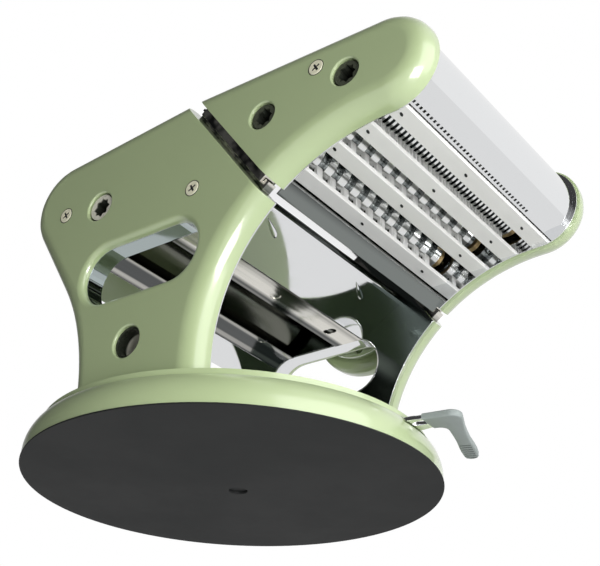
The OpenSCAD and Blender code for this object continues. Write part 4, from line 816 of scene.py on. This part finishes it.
def mark_tree(finish, sizes):
    """A flat oval mark, longer along the machine."""
    tree = Growth("comb mark", sizes)
    disc = tree.node("GeometryNodeMeshCylinder", {
        "Vertices": 20, "Radius": tree.size("Radius"), "Depth": tree.size("Height")}, out="Mesh")
    oval = tree.moved(disc, (0.0, 0.0, 0.0), scale=(1.0, 2.3, 1.0))
    return tree.plant(tree.painted(oval, finish), (0.0, 0.0, 0.3))


def rib_tree(finish, sizes):
    """A round dark bar across the lever's arm, painted shade of a groove."""
    tree = Growth("sleeve rib", sizes)
    bar = tree.node("GeometryNodeMeshCylinder", {
        "Vertices": 16, "Radius": tree.size("Radius"), "Depth": tree.size("Length")}, out="Mesh")
    return tree.plant(tree.painted(bar, finish), tree.size("Turn"))


def lance_tree(finish, sizes):
    """A C-shaped raised edge in a flat sheet."""
    tree = Growth("scraper lance", sizes)
    arc = tree.node("GeometryNodeCurveArc", {
        "Resolution": 24, "Radius": tree.size("Radius"), "Start Angle": 0.6,
        "Sweep Angle": 3.8}, out="Curve")
    profile = tree.node("GeometryNodeCurvePrimitiveCircle", {
        "Resolution": 10, "Radius": tree.size("Edge")}, out="Curve")
    edge = tree.node("GeometryNodeCurveToMesh", {
        "Curve": arc, "Profile Curve": profile, "Fill Caps": True})
    return tree.plant(tree.painted(edge, finish), (0.0, 0.0, 0.0))


class PASTA_OT_screws(bpy.types.Operator):
    """Countersunk screws in the covers"""
    bl_idname = "pasta.screws"
    bl_label = "Cover screws"

    def execute(self, context):
        settings = context.scene.pasta_screws
        # The second material paints the shadows in and round the screws
        finishes = bpy.data.materials["pale_zinc"], bpy.data.materials["suction_rubber"]
        tree = screw_tree(*finishes, {
            "Head radius": 0.0046, "Head height": 0.0016, "Shank radius": 0.002,
            "Shank length": 0.01, "Bevel": 0.0003, "Cross width": 0.0012,
            "Cross length": 0.005, "Cross depth": 0.001, "Gap": 0.0005, "Head stand": 0.0004})
        for node in ("cover_screws", "cutter_cover_screws"):
            boxes = island_boxes(node)
            low, high = boxes[0]
            points = [((a + b) / 2).to_tuple() for a, b in boxes]
            points = [(x, max(a.y, b.y, key=abs), z) for (x, y, z), (a, b) in zip(points, boxes)]
            piece = grow(node + "_look", tree, points, {
                "Head radius": (high.x - low.x) / 2,
                "Shank length": high.y - low.y - 0.0016,
                "Bevel": settings.rim, "Cross width": settings.cross_width,
                "Cross length": settings.cross_length, "Cross depth": settings.cross_depth})
            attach(piece, frame["nodes"][node]["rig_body"])
            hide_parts(node)
        return {"FINISHED"}


class PASTA_OT_comb_marks(bpy.types.Operator):
    """Dark rivet marks under the combs"""
    bl_idname = "pasta.comb_marks"
    bl_label = "Comb marks"

    def execute(self, context):
        sizes = context.scene.pasta_details
        finish = bpy.data.materials["suction_rubber"]
        tree = mark_tree(finish, {"Radius": 0.001, "Height": 0.0004})
        points = []
        for node in ("wide_combs", "narrow_combs"):
            for low, high in island_boxes(node):
                strip = (low.x + high.x) / 2
                points += [(strip, k * sizes.mark_pitch - sizes.mark_shift, low.z)
                           for k in (-1, 0, 1)]
        piece = grow("comb_marks", tree, points, {"Radius": sizes.mark_radius})
        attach(piece, "cutter_head")
        return {"FINISHED"}


# Places down the sleeve's arm, and its half width there, as shares of both at its start
SLEEVE_SHARES = ((0.3, 0.6), (0.45, 0.55), (0.6, 0.54), (0.75, 0.6), (0.88, 0.62), (1.0, 0.57))


# Least angle, in radians, between two faces that meet in a sleeve's edge
SHARP_TURN = 1.2


def left_of(way):
    """A flat direction turned to its left."""
    return Vector((-way.y, way.x))


def arc(middle, radius, first, last, steps=12):
    """Points of a round stretch from one angle to another."""
    turns = [first + (last - first) * k / steps for k in range(steps + 1)]
    return [middle + Vector((math.cos(t), math.sin(t))) * radius for t in turns]


def sleeve_frame(sizes):
    """Corner of the lever and the directions of its two arms."""
    along, out = (Vector((math.cos(turn), math.sin(turn))) for turn in (
        sizes.lever_rest, sizes.lever_rest + sizes.arm_turn))
    return along * sizes.lever_reach, along, out


def sleeve_outline(sizes):
    """Outline of the sleeve from above: round the corner, down to the tip and back."""
    corner, along, out = sleeve_frame(sizes)
    start, tip = corner - along * sizes.sleeve_start, corner + out * sizes.sleeve_tip
    side = left_of(along) * sizes.sleeve_half
    heading = sizes.lever_rest - math.pi / 2
    outer = arc(corner, sizes.corner_radius, heading, heading + sizes.arm_turn)
    arm = [(corner.lerp(tip, share), left_of(out) * sizes.sleeve_half * width)
           for share, width in SLEEVE_SHARES]
    first_half, last_half = arm[0][1].length, arm[-1][1].length
    heading += sizes.arm_turn
    nose = arc(tip, last_half, heading, heading + math.pi)[1:-1]
    back = (sizes.sleeve_half * math.cos(sizes.arm_turn) - first_half) / math.sin(sizes.arm_turn)
    meet = corner + side + along * back
    left = [place + half for place, half in arm]
    bend = [left[0].lerp(meet, t).lerp(meet.lerp(start + side, t), t)
            for t in (k / 8 for k in range(1, 9))]
    right = [place - half for place, half in arm]
    return [start - side] + outer + right + nose + left[::-1] + bend


class PASTA_OT_sleeve(bpy.types.Operator):
    """Soft sleeve that follows the lever round its corner"""
    bl_idname = "pasta.sleeve"
    bl_label = "Lever sleeve"

    def execute(self, context):
        sizes = context.scene.pasta_details
        low, high = (corner.z for corner in node_box("lever_grip"))
        mesh = bmesh.new()
        rim = [mesh.verts.new((p.x, p.y, low + sizes.sleeve_thin))
               for p in sleeve_outline(sizes)]
        base = mesh.faces.new(rim)
        grown = bmesh.ops.extrude_face_region(mesh, geom=[base])["geom"]
        for vert in (g for g in grown if isinstance(g, bmesh.types.BMVert)):
            vert.co.z = high - sizes.sleeve_thin
        bmesh.ops.recalc_face_normals(mesh, faces=mesh.faces)
        caps = [e for e in mesh.edges if e.calc_face_angle(0.0) > SHARP_TURN
                and abs(e.verts[0].co.z - e.verts[1].co.z) < WELD]
        bmesh.ops.bevel(mesh, geom=caps, offset=sizes.sleeve_edge, segments=4, profile=0.5,
                        affect="EDGES", clamp_overlap=True)
        data = bpy.data.meshes.new("lever_sleeve")
        mesh.to_mesh(data)
        mesh.free()
        data.materials.append(bpy.data.materials["soft_grip"])
        shade(data)
        piece = link_mesh("lever_sleeve", data)
        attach(piece, "lift_lever")
        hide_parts("lever_grip")
        return {"FINISHED"}


class PASTA_OT_sleeve_ribs(bpy.types.Operator):
    """Ribs across the lever's sleeve, on both faces"""
    bl_idname = "pasta.sleeve_ribs"
    bl_label = "Sleeve ribs"

    def execute(self, context):
        sizes = context.scene.pasta_details
        low, high = (corner.z for corner in node_box("lever_grip"))
        corner, _, way = sleeve_frame(sizes)
        points = []
        for k in range(sizes.rib_count):
            place = corner + way * (sizes.sleeve_tip + sizes.rib_start - k * sizes.rib_pitch)
            points += [(place.x, place.y, z) for z in (
                low + sizes.sleeve_thin, high - sizes.sleeve_thin)]
        turned = (math.pi / 2, 0.0, math.atan2(way.y, way.x))
        tree = rib_tree(bpy.data.materials["rib_shadow"], {
            "Radius": 0.0005, "Length": 0.005, "Turn": turned})
        piece = grow("sleeve_ribs", tree, points, {
            "Radius": sizes.rib_radius, "Length": sizes.rib_length, "Turn": turned})
        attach(piece, "lift_lever")
        return {"FINISHED"}


# Middles of the scraper lances, in millimetres, two on each scraper
LANCES = ((21.5, -55.0, 119.5), (21.5, 2.5, 119.5), (-24.2, -10.0, 119.5), (-24.2, 47.3, 119.5))


class PASTA_OT_lances(bpy.types.Operator):
    """C-shaped lances in the scrapers"""
    bl_idname = "pasta.lances"
    bl_label = "Scraper lances"

    def execute(self, context):
        sizes = context.scene.pasta_details
        tree = lance_tree(bpy.data.materials["inner_chrome"], {"Radius": 0.003, "Edge": 0.0003})
        points = [tuple(Vector(place) * MM) for place in LANCES]
        piece = grow("scraper_lances", tree, points, {
            "Radius": sizes.lance_radius, "Edge": sizes.lance_edge})
        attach(piece, "body")
        return {"FINISHED"}


# Middle and tip of each embossing in the apron, in millimetres, with the apron's outward side
EMBOSSINGS = (
    ((54.7, -45.0, 133.0), (51.7, -37.3, 131.2)),
    ((54.7, 45.0, 133.0), (51.7, 52.7, 131.2)),
)
APRON_SIDE = Vector((0.53, 0.0, -0.85)).normalized()


class PASTA_OT_emboss(bpy.types.Operator):
    """Drop-shaped embossings in the front apron"""
    bl_idname = "pasta.emboss"
    bl_label = "Apron embossings"

    def execute(self, context):
        sizes = context.scene.pasta_details
        mesh = bmesh.new()
        for middle, tip in EMBOSSINGS:
            along = (Vector(tip) - Vector(middle)) * MM
            across = APRON_SIDE.cross(along).normalized()
            made = bmesh.ops.create_uvsphere(mesh, u_segments=40, v_segments=20, radius=1.0)
            for vert in made["verts"]:
                x, y, z = vert.co
                wide = sizes.drop_half * (0.62 + 0.38 * x)
                place = Vector(middle) * MM + x * along + y * wide * across
                vert.co = place + z * sizes.drop_height * APRON_SIDE
        bmesh.ops.recalc_face_normals(mesh, faces=mesh.faces)
        data = bpy.data.meshes.new("apron_embossings")
        mesh.to_mesh(data)
        mesh.free()
        shade(data)
        piece = link_mesh("apron_embossings", data)
        data.materials.append(bpy.data.materials["mirror_chrome"])
        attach(piece, "body")
        return {"FINISHED"}


class PASTA_PT_panel(bpy.types.Panel):
    """Steps that build the pasta machine"""
    bl_idname = "PASTA_PT_panel"
    bl_label = "Pasta Machine"
    bl_space_type = "VIEW_3D"
    bl_region_type = "UI"
    bl_category = "Pasta Machine"

    def draw(self, context):
        for step in STEPS:
            self.layout.operator(step.bl_idname)


STEPS = (PASTA_OT_stage, PASTA_OT_finish_solids, PASTA_OT_screws, PASTA_OT_comb_marks,
         PASTA_OT_sleeve, PASTA_OT_sleeve_ribs, PASTA_OT_lances, PASTA_OT_emboss)
SETTINGS = {"pasta_colours": FinishColours, "pasta_edges": EdgeSizes,
            "pasta_studio": StudioSettings, "pasta_screws": ScrewSizes,
            "pasta_details": DetailSizes}
CLASSES = tuple(SETTINGS.values()) + STEPS + (PASTA_PT_panel,)


def register():
    for item in CLASSES:
        bpy.utils.register_class(item)
    for name, group in SETTINGS.items():
        setattr(bpy.types.Scene, name, bpy.props.PointerProperty(type=group))


def unregister():
    for name in SETTINGS:
        delattr(bpy.types.Scene, name)
    for item in reversed(CLASSES):
        bpy.utils.unregister_class(item)


def main():
    register()
    for step in STEPS:
        group, name = step.bl_idname.split(".")
        getattr(getattr(bpy.ops, group), name)()


if __name__ == "__main__":
    main()
